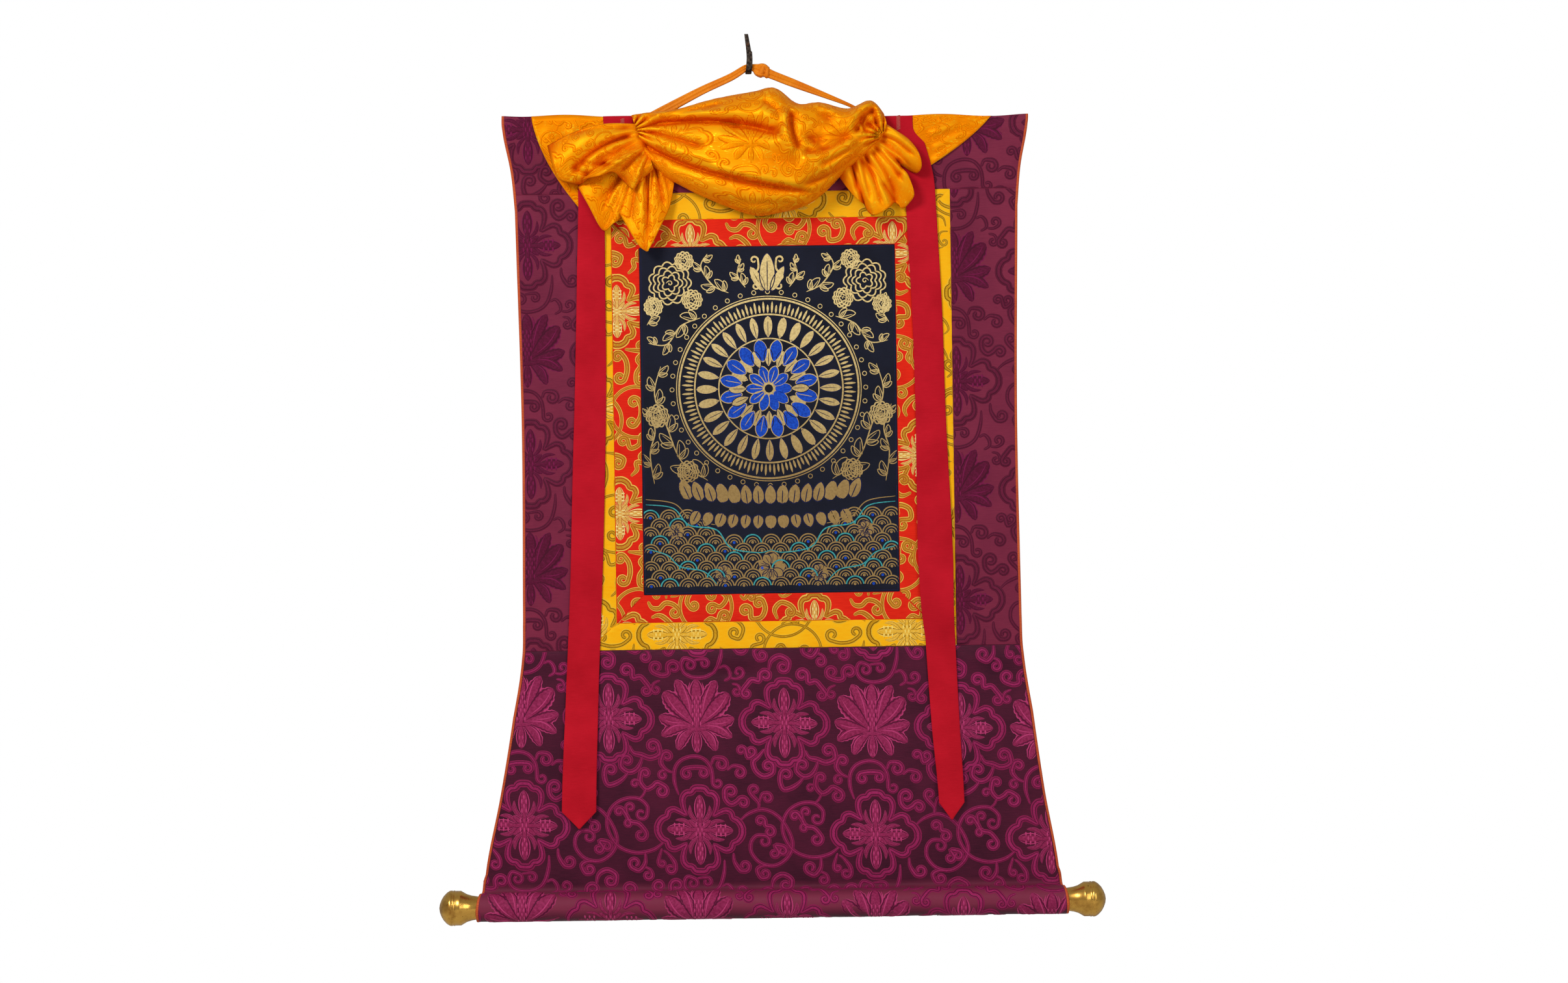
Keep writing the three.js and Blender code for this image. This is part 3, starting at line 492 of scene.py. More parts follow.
def moved(strokes, x, z):
    """The strokes moved across the cloth."""
    return [(path + (x, z), half, kind) for path, half, kind in strokes]


def knots(columns, rows, x, z, wide, tall):
    """A lattice of small lozenges about a middle, every other row set half a step across."""
    lozenges = []
    for row in range(rows):
        at_z = z + (row - (rows - 1) / 2) * tall
        for column in range(columns - row % 2):
            at_x = x + (column - (columns - 1 - row % 2) / 2) * wide
            lozenge = petal((at_x, at_z - tall * 0.55), (at_x, at_z + tall * 0.55), wide * 0.3)
            lozenges.append((*lozenge[:2], KNOT))
    return lozenges


def lotus():
    """A lotus seen from the side. Broad petals with rippled tips stand up and droop round a bud with a
    lattice, and a light vein runs out between each two."""
    outer = [
        petal((2, -14), (58, 0), 14.5, -2, 1.5, 0.1),
        petal((2, -14), (54, -30), 12, 6, 1.4, 0.1),
        petal((2, -16), (29, -51), 11.5, 5, 1.3, 0.1),
        petal((2, -14), (50, 38), 19, 0, 1.6, 0.1),
        petal((1, -10), (31, 57), 14, 2, 1.5, 0.1),
    ]
    veins = [
        petal((14, -20), (29, -46), 1.4, 5, 1.0),
        petal((14, -13), (51, -27), 1.5, 6, 1.0),
        petal((14, -3), (47, 35), 1.5, -4, 1.0),
        petal((9, 2), (24, 55), 1.5, 3, 1.0),
        petal((6, 30), (9, 54), 1.3, -4, 1.0),
        petal((20, -9), (50, -5), 1.2, -2, 1.0),
    ]
    veins = [(path, half, KNOT) for path, half, kind in veins]
    middle = [petal((0, -20), (0, -55), 10, 0, 1.0), petal((0, -14), (0, 58), 15, 0, 1.6)]
    bud = [petal((0, -24), (0, 40), 10, 0, 0.9), petal((-16, -18), (16, -18), 6, 0, 1.0)]
    lattice = knots(3, 7, 0, 10, 6, 6.6) + knots(2, 3, 0, -44, 5, 6)
    petals = mirrored(outer[:4]) + middle[:1] + mirrored(outer[4:]) + middle[1:]
    return petals + mirrored(veins) + bud + lattice


# A quarter of the four-lobed frame's outline, from the top to the right, without its two end points.
frame_half = 6.2
frame_top, frame_right = np.array([[0, 64.5]]), np.array([[64.8, 0]])
frame_quarter = np.array([
    (8, 63.5), (13, 57.5), (20, 56.5), (25.5, 50.5), (26.5, 42), (24.5, 32), (21, 22.5),
    (31, 27.5), (40, 31), (48, 27.5), (50.5, 19.5), (57, 16.5), (62, 11), (65, 4),
])


def frame_band(fuller=1.0):
    """The scalloped frame with four lobes: a quarter of it, turned and mirrored. fuller widens its band."""
    outline = []
    ends = {(1, 1): frame_top, (1, -1): frame_right, (-1, -1): -frame_top, (-1, 1): -frame_right}
    for (x, z), end in ends.items():
        outline += [end, frame_quarter[::x * z] * (x, z)]
    return ring_band(np.concatenate(outline), frame_half * fuller)


def buds():
    """Four pointed buds in a cross, each with a lattice and a leaflet on either side, about a knot of
    petals."""
    upper = [
        petal((3, 12), (15, 38), 4.2, -5, 0.9),
        petal((0, 14), (0, 54), 11, 0, 1.0),
        petal((0, 0), (0, 24), 6, 0, 0.9),
    ]
    side = [
        petal((12, 3), (38, 14), 4.2, 5, 0.9),
        petal((12, -3), (38, -14), 4.2, -5, 0.9),
        petal((14, 0), (51, 0), 11, 0, 1.0),
        petal((0, 0), (24, 0), 6, 0, 0.9),
    ]
    knot = [petal((0, 0), (17, 15), 6.5, 0, 1.0), petal((0, 0), (17, -15), 6.5, 0, 1.0)]
    lower = [(path * (1, -1), half, kind) for path, half, kind in upper]
    lattice = knots(2, 4, 0, 33, 6.5, 7) + knots(2, 4, 0, -33, 6.5, 7) + knots(3, 3, 0, 0, 6, 7)
    lattice += mirrored(knots(3, 3, 32, 0, 7, 6.5))
    return mirrored(knot) + mirrored(upper[:1] + lower[:1]) + upper[1:] + lower[1:] + mirrored(side) + lattice


# One repeat's vines, as a weaver's chart in millimetres from the lotus. Each row has a half width and the
# places the vine runs through: a pair is a point, and a curl at an end is x, z, radius and hand, which is 1
# to the left.
damask_vines = (
    (4.0, (40, 118), (39, 98), (32, 76), (19, 64.5), (0, 61), (-16, 66), (-22.5, 78), (-18, 90),
     (-9, 80, 8, -1)),
    (4.3, (-3, 88), (13, 83, 7, -1)),
    (5.2, (-61, 75, 9, -1), (-52, 63), (-43, 66), (-34, 76, 9.5, -1)),
    (4.6, (36, 76), (44, 80), (51, 73), (52, 63), (43, 57)),
    (4.3, (53, 62), (62, 61), (66, 71, 7.5, 1)),
    (5.5, (-107, 69, 9, 1), (-97, 58), (-86, 60), (-78, 52), (-77, 39, 7, -1)),
    (4.3, (-55, 55), (-64, 51), (-62, 41, 6.5, 1)),
    (5.5, (107, 67, 9, -1), (97, 58), (86, 60), (78, 52), (77, 39, 7, 1)),
    (4.3, (55, 53), (64, 51), (62, 41, 6.5, -1)),
    (5.5, (112, 74), (116, 90), (129, 97.5), (142, 91), (134, 81, 8.5, -1)),
    (5.6, (-104, -46), (-98, -57), (-86, -60), (-72, -64.5), (-58, -58), (-68, -46, 9, 1)),
    (5.2, (-84, -61), (-87, -72), (-94, -83), (-106, -87), (-117, -79), (-108, -69, 8.5, -1)),
    (5.2, (-106, -87), (-114, -97), (-126, -105), (-138, -107), (-143, -95), (-133, -84, 9, -1)),
    (5.2, (-80, -88, 6.5, -1), (-88, -101), (-79, -112), (-69, -108), (-62, -102), (-55, -115, 9, -1)),
    (4.3, (-86, -100), (-96, -104, 5.5, 1)),
    (4.9, (-79, -111), (-84, -122), (-92, -129)),
    (5.2, (-46, -61, 7.5, -1), (-56, -71), (-49, -81), (-38, -86)),
    (4.6, (-46, -82), (-53, -90, 6.5, 1)),
    (3.9, (-29, -120), (-35.5, -99), (-34, -79), (-24, -66), (-6, -60), (10, -63.5), (20, -75), (23, -88),
     (31, -100, 7.5, 1)),
    (4.9, (-16, -87, 8, 1), (-4, -77), (9, -85, 7.5, -1)),
    (5.2, (22, -72), (26, -62), (37, -71, 9.5, -1)),
    (4.9, (46, -80), (55, -73), (65, -83, 8.5, -1)),
    (5.5, (51, -113, 9.5, -1), (43, -125), (51, -132), (60, -128), (70, -129, 8, -1)),
    (4.6, (92, -142), (94, -130), (84, -118), (87, -109, 7.5, -1)),
    (4.6, (94, -130), (99, -116), (107, -121, 7.5, -1)),
    (4.6, (68, -49, 6.5, 1), (78, -60), (83, -50, 7, 1)),
    (5.5, (104, -46), (94, -58), (86, -66), (90, -80), (102, -88), (115, -83), (109, -72, 8.5, 1)),
    (3.9, (64, -158), (78, -146), (100, -139), (122, -148), (138, -169), (145, -192), (137, -212),
     (118, -225), (96, -222), (82, -207), (81, -191), (89, -180), (102, -188, 9, -1)),
    (4.9, (117, -206, 7, -1), (118, -194), (129, -202, 7, -1)),
    (4.9, (96, -157, 7, 1), (104, -164), (110, -173, 8, -1)),
    (3.9, (-50, -190), (-68, -205), (-95, -211), (-121, -203), (-136, -184), (-140, -163), (-132, -142),
     (-114, -129), (-92, -127), (-78, -138), (-87, -151, 9, -1)),
    (4.9, (-121, -148, 6.5, 1), (-110, -153), (-104, -163), (-91, -166), (-88, -183, 9, -1)),
    (4.6, (-104, -141, 6.5, -1), (-108, -154)),
    (4.6, (-107, -166, 6, 1), (-101, -160)),
    (4.9, (-82, -209), (-82, -226), (-91, -238), (-98, -227, 9, -1)),
    (4.9, (-84, -232), (-75, -236), (-78, -245, 7, -1)),
    (4.3, (-56, -203), (-61, -219), (-56, -226, 5.5, 1)),
    (4.6, (-54, -206), (-46, -212), (-37, -224), (-43, -234, 7.5, -1)),
    (4.9, (54, -207), (55, -220), (63, -233), (71, -227, 8.5, 1)),
    (4.6, (114, -227), (100, -226), (90, -232), (95, -244), (102, -238, 7, 1)),
)
repeat_x, repeat_z = 270, 336


def brocade_repeat():
    """One repeat of the damask: a lotus, the frames beside it and below it, and the vines between them."""
    framed = [frame_band()] + buds()
    return lotus() + moved(framed, 135, -5) + moved(framed, 3, -173) + [vine(*row) for row in damask_vines]


# One repeat of the borders' brocade, about its frame, in the same way.
border_period = (389, 240)
# Columns: x, z and radius of each ring.
border_rings = ((180, 44, 50), (195, -34, 49))
ring_half = 3.8
border_vines = (
    (5.4, (75, 24), (88, 29), (101, 23), (112, 9), (106, -8), (97, 2, 9, -1)),
    (5.0, (69, 56), (76, 44), (90, 42), (102, 52), (116, 50), (120, 34, 10, -1)),
    (5.0, (72, -22), (84, -34), (98, -33), (108, -46, 10, 1)),
    (5.0, (139, -8, 9, 1), (126, -22), (132, -38), (144, -50, 9, -1)),
    (5.0, (192, 66, 9, 1), (208, 74), (220, 60), (208, 44), (192, 40, 9, 1)),
    (5.0, (216, 26, 9, -1), (202, 16), (188, 22), (176, 14)),
    (5.0, (164, 80), (150, 70), (144, 54), (157, 47, 8, 1)),
    (4.6, (234, 82), (240, 94), (254, 92), (252, 80, 7, -1)),
    (3.8, (112, 64), (126, 68), (131, 79), (120, 86, 6, 1)),
    (3.6, (104, 60), (103, 72), (93, 77), (86, 67, 6, 1)),
    (3.2, (78, 68), (74, 80), (64, 80, 5, 1)),
    (3.8, (-70, 70), (-62, 62), (-50, 66), (-46, 78, 6, 1)),
    (3.8, (-118, 62), (-106, 66), (-98, 78, 7, 1)),
    (5.0, (176, -26, 9, -1), (186, -42), (204, -44), (214, -30, 10, 1)),
    (5.0, (182, -62), (196, -66), (212, -58, 8, 1)),
    (5.4, (256, 36, 10, 1), (268, 20), (286, 22), (294, 38), (282, 50, 9, 1)),
    (5.0, (246, 66), (254, 58), (268, 62, 8, -1)),
    (5.4, (262, -4, 10, -1), (276, -18), (294, -16), (302, 0, 9, 1)),
    (5.0, (256, -44, 9, 1), (270, -36), (284, -44), (296, -38), (300, -54, 9, -1)),
    (5.0, (316, -14), (314, -30), (322, -44, 9, 1)),
    (5.2, (318, 18), (312, 36), (324, 50), (340, 46), (342, 32, 9, -1)),
)


def angles_round(count):
    """So many even angles round a circle."""
    return np.linspace(0, 2 * math.pi, count, endpoint=False)


def paired(a, b):
    """Two arrays stretched to one shape and joined as pairs."""
    return np.stack(np.broadcast_arrays(a, b), axis=-1)


def border_repeat(fuller):
    """One repeat of the borders' brocade: a frame of buds, two linked rings, and the clouds in and between
    them. fuller widens the clouds and rings."""
    turn = angles_round(16)
    circle = paired(np.cos(turn), np.sin(turn))
    rings = [ring_band(circle * radius + (x, z), ring_half * fuller) for x, z, radius in border_rings]
    return rings + [frame_band(fuller)] + buds() + [vine(half * fuller, *run) for half, *run in border_vines]


# The section of a raised band, from its left edge to its right one: the place across it, and its height.
band_across = np.array([-1, -0.6, 0, 0.6, 1])
band_height = np.array([-0.7, 0.7, 1, 0.7, -0.7])


def leftward(path):
    """The direction square to a plan path at each of its points, to the left."""
    run = unit(np.gradient(path, axis=0))
    return np.stack([-run[:, 1], run[:, 0]], axis=1)


def raised_strips(strokes, rise, band_across=band_across, band_height=band_height):
    """Carries the band's section square along every stroke. Gives plan places, heights, places on the band
    (its share across and its length along, in metres), marks, and faces. No two strokes stand quite as
    high, so none flicker."""
    plans, heights, flats, kinds, faces, used = [], [], [], [], [], 0
    for order, (path, half, kind) in enumerate(strokes):
        left = leftward(path)
        aside = half[:, None] * -band_across
        plans.append((path[:, None] + left[:, None] * aside[..., None]).reshape(-1, 2))
        share = np.where(kind == KNOT, 1.5, np.clip(half / 3, 0.35, 1))[:, None]
        heights.append((band_height * share * rise * (1 + 0.06 * (order % 9))).ravel())
        length = lengths(path) / 1000
        flats.append(paired((band_across + 1) / 2, length[:, None] + 0.37 * order).reshape(-1, 2))
        kinds.append(np.full(path.shape[0] * len(band_across), float(kind)))
        faces.append(sheet_faces(len(path), len(band_across)) + used)
        used += path.shape[0] * len(band_across)
    return tuple(np.concatenate(part) for part in (plans, heights, flats, kinds, faces))


def figure_piece(
    name, strips, lay, finish, box, cut, scale=1.0, turn=False, shift=(0, 0),
    period=(repeat_x, repeat_z), slope=0.0, crease=None,
):
    """Lays the repeat's strips over a panel. The plan is scaled, turned a quarter if asked, shifted, and
    copied over the panel's box, falling along the cloth by the slope; cut() draws points that fall outside
    onto the panel's edge, faces wholly outside go, and lay() puts each point on the cloth at its height."""
    plan, height, flat, kind, faces = strips
    plan, period = plan * scale, np.array(period) * scale
    if turn:
        plan, period = plan[:, ::-1] * (-1, 1), period[::-1]
    plan = plan + shift
    first = np.floor((box[:2] - plan.max(axis=0)) / period) + 1
    last = np.ceil((box[2:] - plan.min(axis=0)) / period)
    steps = [np.arange(first[k], last[k]) * period[k] for k in (0, 1)]
    offsets = np.stack(np.meshgrid(*steps), axis=-1).reshape(-1, 1, 2)
    copies = len(offsets)
    x, z = np.moveaxis((plan + offsets).reshape(-1, 2), 1, 0)
    z = z - slope * x
    cut_x, cut_z = cut(x, z)
    outside = np.hypot(cut_x - x, cut_z - z) > 1e-6
    faces = (faces + (np.arange(copies) * len(plan))[:, None, None]).reshape(-1, 4)
    faces = faces[~outside[faces].all(axis=1)]
    kept, faces = np.unique(faces, return_inverse=True)
    points = lay(cut_x[kept], cut_z[kept], np.tile(height, copies)[kept])
    marks = {"petal": np.tile(kind, copies)[kept]}
    # Painted shade: the figure darkens where the cloth under it lies in the hollow of a fold.
    if crease:
        marks["crease"] = crease(cut_x[kept], cut_z[kept])
    return make_piece(name, points, faces.reshape(-1, 4), np.tile(flat, (copies, 1))[kept], finish, **marks)


def on_hung(x, z, height):
    """A point on the front of the hung cloth, and as far in front of it as the height says."""
    return in_frame(x, hung(x, z) - cloth_thick / 2 - height, z)


def inside(corners, margin=0.8):
    """Gives a cut for a panel with straight sides: points beyond a side, less the margin, are drawn back to
    it."""
    corners = np.asarray(corners, float)
    sides = list(zip(corners, np.roll(corners, -1, axis=0)))

    def cut(x, z):
        for (ax, az), (bx, bz) in sides * 2:
            run = math.hypot(bx - ax, bz - az)
            out_x, out_z = -(bz - az) / run, (bx - ax) / run
            beyond = np.maximum((x - ax) * out_x + (z - az) * out_z + margin, 0)
            x, z = x - out_x * beyond, z - out_z * beyond
        return x, z
    return cut


def mark_on(add, name):
    """The value that make_piece gave the points under this name."""
    return add("Attribute", attribute_name=name).outputs["Fac"]


def stretched(add, place, scale, turn=0.0):
    """A place multiplied along its own axes, then turned about its third one."""
    return add("Mapping", {"Vector": place, "Scale": scale, "Rotation": (0, 0, turn)}).outputs[0]


def figure_material(name, band, band_light, rim, line, bloom, bloom_light, hatch, rough, strength, **shader):
    """The threads of a woven figure. Across a vine run a dark edge, a rim, a fine dark line and a hatched
    middle; petals are streaked, with a light line near the edge, a dark edge and a dark vein halfway in. The
    dark edges are partly sunken threads and partly painted shade where the raised band's sides would be in
    shadow. hatch is the number of twists per metre. Lozenges and veins are plain light threads."""
    add = new_material(name)
    uv = add("SeparateXYZ", {0: place_on(add, "UV")})
    place = place_on(add, "Object")
    centred = times(add, uv.outputs["X"], 2.0, -1.0)
    off_middle = math_node(add, "ABSOLUTE", centred)

    def at_share(share, reach):
        """1 on a line at a share of the half width, falling to 0 at a reach either side."""
        away = math_node(add, "ABSOLUTE", math_node(add, "SUBTRACT", off_middle, share))
        return spread(add, away, reach * 0.4, reach, 1.0, 0.0)

    lean = times(add, off_middle, 2.2)
    twist = math_node(add, "SINE", times(add, uv.outputs["Y"], hatch * 2 * math.pi, lean))
    fine = noise(add, place, 420, 2)
    broad = noise(add, place, 16, 3)
    grain = math_node(add, "ADD", times(add, fine, 0.5), times(add, broad, 0.5))
    lit = spread(add, times(add, twist, 0.09, grain), 0.36, 0.64)
    body = mixed(add, lit, band, band_light)
    body = faded(add, off_middle, 0.5, 0.62, body, rim)
    body = mixed(add, at_share(0.4, 0.16), body, line)
    # Dark edge: partly the sunken threads and partly painted shade on the raised band's sides.
    body = faded(add, off_middle, 0.84, 0.96, body, line)
    streaks = stretched(add, place_on(add, "UV"), (7, 260, 1))
    rib = noise(add, streaks, 1, 2)
    streaky = times(add, rib, 0.6, times(add, grain, 0.4))
    flower = mixed(add, spread(add, streaky, 0.42, 0.66, 0.0, 0.5), bloom, bloom_light)
    flower = mixed(add, at_share(0.55, 0.1), flower, line)
    flower = mixed(add, at_share(0.8, 0.14), flower, bloom_light)
    # Dark edge: partly the sunken threads and partly painted shade on the raised petal's sides.
    flower = faded(add, off_middle, 0.92, 0.98, flower, line)
    is_petal = mark_on(add, "petal")
    colour = mixed(add, is_petal, body, flower)
    colour = faded(add, is_petal, 1.4, 1.6, colour, bloom_light)
    # Painted shade in the hollows of folds, where the points carry the crease mark.
    colour = mixed(add, mark_on(add, "crease"), colour, line)
    height = times(add, twist, 0.35, math_node(add, "ADD", fine, rib))
    roughness = spread(add, grain, 0.3, 0.7, rough + 0.08, rough - 0.08)
    return finish_material(name, colour, roughness, height, strength, **shader)


red_ground = cloth_material(
    "red_satin", dye(208, 26, 18), dye(242, 48, 28), (1500, 2600), 0.5, 0.25, 0.05,
    Specular_Tint=dye(255, 150, 110),
)
red_figure = figure_material(
    "red_brocade_gold", dye(184, 120, 30), dye(210, 154, 50), dye(234, 190, 84), dye(170, 66, 20),
    dye(222, 160, 70), dye(250, 228, 150), 420, 0.42, 0.5, Specular_Tint=dye(255, 215, 120),
)


def mitred_strips(inner_x, inner_z, wide, tall):
    """The corners of a border's four strips, with the seam's gap between them."""
    ix, iz = inner_x + seam, inner_z + seam
    ox, oz = inner_x + wide, inner_z + tall
    cut = seam / 2
    top = [(-ox + cut, oz), (ox - cut, oz), (ix - cut, iz), (-ix + cut, iz)]
    left = [(-ox, oz - cut), (-ix, iz - cut), (-ix, -iz + cut), (-ox, -oz + cut)]
    return {
        "top": top,
        "bottom": [(x, -z) for x, z in top[::-1]],
        "left": left,
        "right": [(-left[k][0], left[k][1]) for k in (1, 0, 3, 2)],
    }


def brocade_border(border, inner_x, inner_z, wide, tall, ground, figure, shifts, scale=1.0, fuller=1.0):
    """Four strips round a half width and height. The upright ones have the pattern turned a quarter. shifts
    says where the repeat starts on each."""
    border_rise = 0.5
    border_strips = raised_strips(border_repeat(fuller), border_rise)
    for side, corners in mitred_strips(inner_x, inner_z, wide, tall).items():
        name = f"{border}_{side}"
        strip = straight_panel(name + "_cloth", corners, 6, ground)
        xs, zs = zip(*corners)
        upright = side in ("left", "right")
        threads = figure_piece(
            name + "_figure", border_strips, on_hung, figure, (min(xs), min(zs), max(xs), max(zs)),
            inside(corners), scale, upright, shifts[side], border_period,
        )
        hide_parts(name)


brocade_border(
    "red_border", painting_half_x, painting_half_z, red_wide, red_tall, red_ground, red_figure,
    {"top": (-117.7, 259.4), "bottom": (65.2, -321.4), "left": (-232, 170), "right": (231, 253)},
    scale=0.8, fuller=1.22,
)

# Yellow border. The same cut in golden yellow brocade with olive gold vines and pale flowers, seamed round
# the red.
yellow_wide, yellow_tall = 43.4, 41.2
yellow_ground = cloth_material(
    "yellow_satin", dye(255, 170, 8), dye(255, 198, 34), (1500, 2600), 0.46, 0.25, 0.05,
    Specular_Tint=dye(255, 215, 90),
)
yellow_figure = figure_material(
    "yellow_brocade_gold", dye(190, 134, 22), dye(218, 164, 38), dye(234, 186, 54), dye(128, 84, 8),
    dye(232, 172, 40), dye(254, 222, 116), 420, 0.4, 0.5, Specular_Tint=dye(255, 215, 90),
)
red_outer_x, red_outer_z = painting_half_x + red_wide, painting_half_z + red_tall
brocade_border(
    "yellow_border", red_outer_x, red_outer_z, yellow_wide, yellow_tall, yellow_ground, yellow_figure,
    {"top": (30, 338), "bottom": (-146.9, -328.3), "left": (-268, 20), "right": (334, 191)},
    scale=0.91,
)

# Painted picture. A plain design of the painter's own kinds of line: a round flower with rays and beads,
# leaf sprays and blossoms round it, a bud above, and petals over rolling waves. The paint lies on the
# canvas in two thin coats, broad touches first and fine lines over them.
GOLD, BLUE, TEAL, INK = 0, 1, 2, 3
flower_at = (0, 48)


def aimed(angle):
    """A step of one in the direction of an angle."""
    return np.array([math.cos(angle), math.sin(angle)])


def drawn(points, half, paint):
    """A painted line through points, thinner towards its ends as the root of a sine."""
    path = even_line(points, 2.0)
    ends = between(0.4, 1, np.sin(math.pi * np.linspace(0, 1, len(path))) ** 0.5)
    return path, half * ends, paint


def round_line(centre, radius, half, paint, ripples=0, deep=0.0, start=0.0, turn=2 * math.pi):
    """A painted arc, or a full ring; ripples make its radius swell as the size of a sine."""
    angle = np.linspace(start, start + turn, max(10, round(abs(turn) * radius / 1.6)))[:, None]
    away = radius + deep * np.abs(np.sin(ripples * angle / 2))
    path = np.concatenate([np.cos(angle), np.sin(angle)], axis=1) * away + centre
    return path, np.full(len(path), half), paint


def touch(base, tip, half, paint, bend=0.0, fat=1.0):
    """A broad touch of the brush, shaped like a petal."""
    return (*petal(base, tip, half, bend, fat)[:2], paint)


def edge_of(shape, half, paint):
    """A fine line round a touch."""
    path, width, _ = shape
    aside = leftward(path) * width[:, None]
    line = np.concatenate([path + aside, (path - aside)[::-1], path[:1] + aside[:1]])
    return line, np.full(len(line), half), paint


def wheel(centre, count, inner, outer, half, paint, edge, shift=0.0):
    """Touches set round a centre, each with its edge and midrib. Gives the touches and the lines."""
    touches, lines = [], []
    for k in range(count):
        aim = aimed(2 * math.pi * (k + shift) / count)
        shape = touch(aim * inner + centre, aim * outer + centre, half, paint, fat=1.2)
        midrib = drawn([aim * (inner + 2) + centre, aim * between(inner, outer, 0.75) + centre], 0.5, edge)
        touches.append(shape)
        lines += [edge_of(shape, 0.65, edge), midrib]
    return touches, lines


def spray(points, leaves, size):
    """A stem with leaves on both sides in turn, each an edge and a midrib, smaller towards the tip."""
    stem = drawn(points, 1.0, GOLD)
    path, strokes = stem[0], [stem]
    run = np.gradient(path, axis=0)
    for k in range(leaves):
        i = int((k + 0.5) / leaves * (len(path) - 1))
        hand = 1 - 2 * (k % 2)
        for lean, share in ((0.55, 1.0), (1.25, 0.72)):
            angle = math.atan2(run[i, 1], run[i, 0]) + hand * lean
            long = size * share * (1 - 0.4 * k / leaves)
            tip = path[i] + long * aimed(angle)
            shape = touch(path[i], tip, long * 0.24, GOLD, hand * long * 0.1, 0.85)
            strokes += [edge_of(shape, 0.7, GOLD), drawn([path[i], between(path[i], tip, 0.8)], 0.5, GOLD)]
    return strokes


def blossom(x, z, size):
    """A round blossom of four rippled rings, each wider than the one inside it, over a spiral."""
    rings = [
        round_line((x, z), size * share, 1.1, GOLD, ripples, size * 0.16, share)
        for share, ripples in ((0.28, 5), (0.5, 7), (0.72, 9), (0.94, 11))
    ]
    return rings + [(*vine(1.2, (x + size * 0.2, z), (x, z, size * 0.14, 1))[:2], GOLD)]


touches, lines = [], []
# Columns: petals, inner and outer reach, half width, paint, paint of the edge, and shift in petals.
for count, inner, outer, half, paint, edge, shift in (
    (28, 78, 112, 6.6, GOLD, INK, 0),
    (16, 42, 76, 9.5, BLUE, GOLD, 0.5),
    (16, 34, 62, 6.5, GOLD, INK, 0),
    (10, 8, 36, 7.5, BLUE, GOLD, 0),
):
    petals, edges = wheel(flower_at, count, inner, outer, half, paint, edge, shift)
    touches += petals
    lines += edges
for radius, half in ((77, 1.0), (114, 1.2), (138, 1.4), (142, 0.7), (8, 1.6)):
    lines.append(round_line(flower_at, radius, half, GOLD))
rays, beads = 120, 44
for k in range(rays):
    aim = aimed(k * math.pi / (rays / 2))
    touches.append(touch(aim * 116 + flower_at, aim * (134 if k % 2 else 129) + flower_at, 1.7, GOLD))
for k in range(beads):
    lines.append(round_line(aimed(k * math.pi / (beads / 2)) * 149 + flower_at, 3.2, 0.6, GOLD))

half_sprays = (
    spray([(96, -92), (136, -62), (158, -8), (176, 40), (166, 84)], 9, 30)
    + spray([(178, -96), (184, -50), (176, -14), (188, 22)], 6, 22)
    + spray([(104, 158), (134, 146), (156, 118), (184, 120)], 5, 24)
    + spray([(60, 196), (84, 208), (102, 236), (92, 256)], 5, 22)
    + spray([(34, 204), (46, 224), (40, 248)], 4, 17)
    + spray([(186, 148), (176, 168), (186, 186)], 3, 18)
    + blossom(150, 212, 30) + blossom(116, 186, 14) + blossom(176, 176, 13) + blossom(128, 246, 13)
    + blossom(172, 8, 16) + blossom(126, -78, 15)
    + [(*vine(1.5, (18, 206, 6, 1), (24, 220), (14, 232), (20, 246, 6, -1))[:2], GOLD)]
)
lines += mirrored(half_sprays)
for base, tip, half in (((0, 198), (0, 256), 12), ((6, 198), (26, 236), 7), ((-6, 198), (-26, 236), 7)):
    bud = touch(base, tip, half, GOLD, 0, 0.9)
    touches.append(bud)
    lines += [edge_of(bud, 0.8, INK), drawn([base, between(np.array(base), np.array(tip), 0.8)], 0.7, INK)]

# Two rows of petals bow down in the middle. Columns: petals, reach from the middle, height and length,
# which is below 0 for petals that point down, and half width.
for count, reach, row_z, long, half in ((15, 132, -120, 30, 9.4), (13, 118, -136, -22, 8.6)):
    for k in range(count):
        x = reach * (2 * k / (count - 1) - 1)
        z = row_z - 10 * math.cos(x / 90)
        shape = touch((x * 0.94, z), (x * 1.04, z + long), half, GOLD, fat=0.8)
        base, tip = shape[0][0], shape[0][-1]
        touches.append(shape)
        lines += [edge_of(shape, 0.9, INK), drawn([base, between(base, tip, 0.7)], 0.8, INK)]

# Below them each wave is three arcs over a dot, and every fifth one is edged with teal. The upper rows
# leave the middle free.
wave_wide, wave_tall, waves_top = 28.5, 13.2, -150
for row in range(9):
    for k in range(14 + row % 2):
        x, z = (k - 6.5 - 0.5 * (row % 2)) * wave_wide, waves_top - wave_tall * row
        if abs(x) > 186 or (row < 3 and abs(x) < 124 - 20 * row):
            continue
        for ring, size in enumerate((13.4, 9.2, 5.2)):
            paint = TEAL if (k * 2 + row) % 5 == 0 and ring == 0 else GOLD
            lines.append(round_line((x, z), size, 0.75 if ring else 1.0, paint, 0, 0, 0.1, math.pi - 0.2))
        lines.append(round_line((x, z + 1.5), 1.3, 0.9, BLUE if (k + row) % 4 == 0 else GOLD))
lines += mirrored([
    drawn([(192, -128), (150, -134), (126, -160), (84, -168), (62, -196), (20, -204), (0, -200)], 1.0, TEAL),
    drawn([(192, -196), (160, -206), (140, -224), (104, -232), (84, -252)], 0.9, TEAL),
    drawn([(192, -120), (148, -127), (122, -152), (80, -161)], 0.8, GOLD),
])
for x, z, size in ((0, -226, 22), (-74, -236, 14), (74, -236, 14), (-146, -170, 13), (146, -170, 13)):
    petals, edges = wheel((x, z), 9, size * 0.2, size, size * 0.3, GOLD, INK)
    touches += petals
    lines += edges
line_in = 2.6
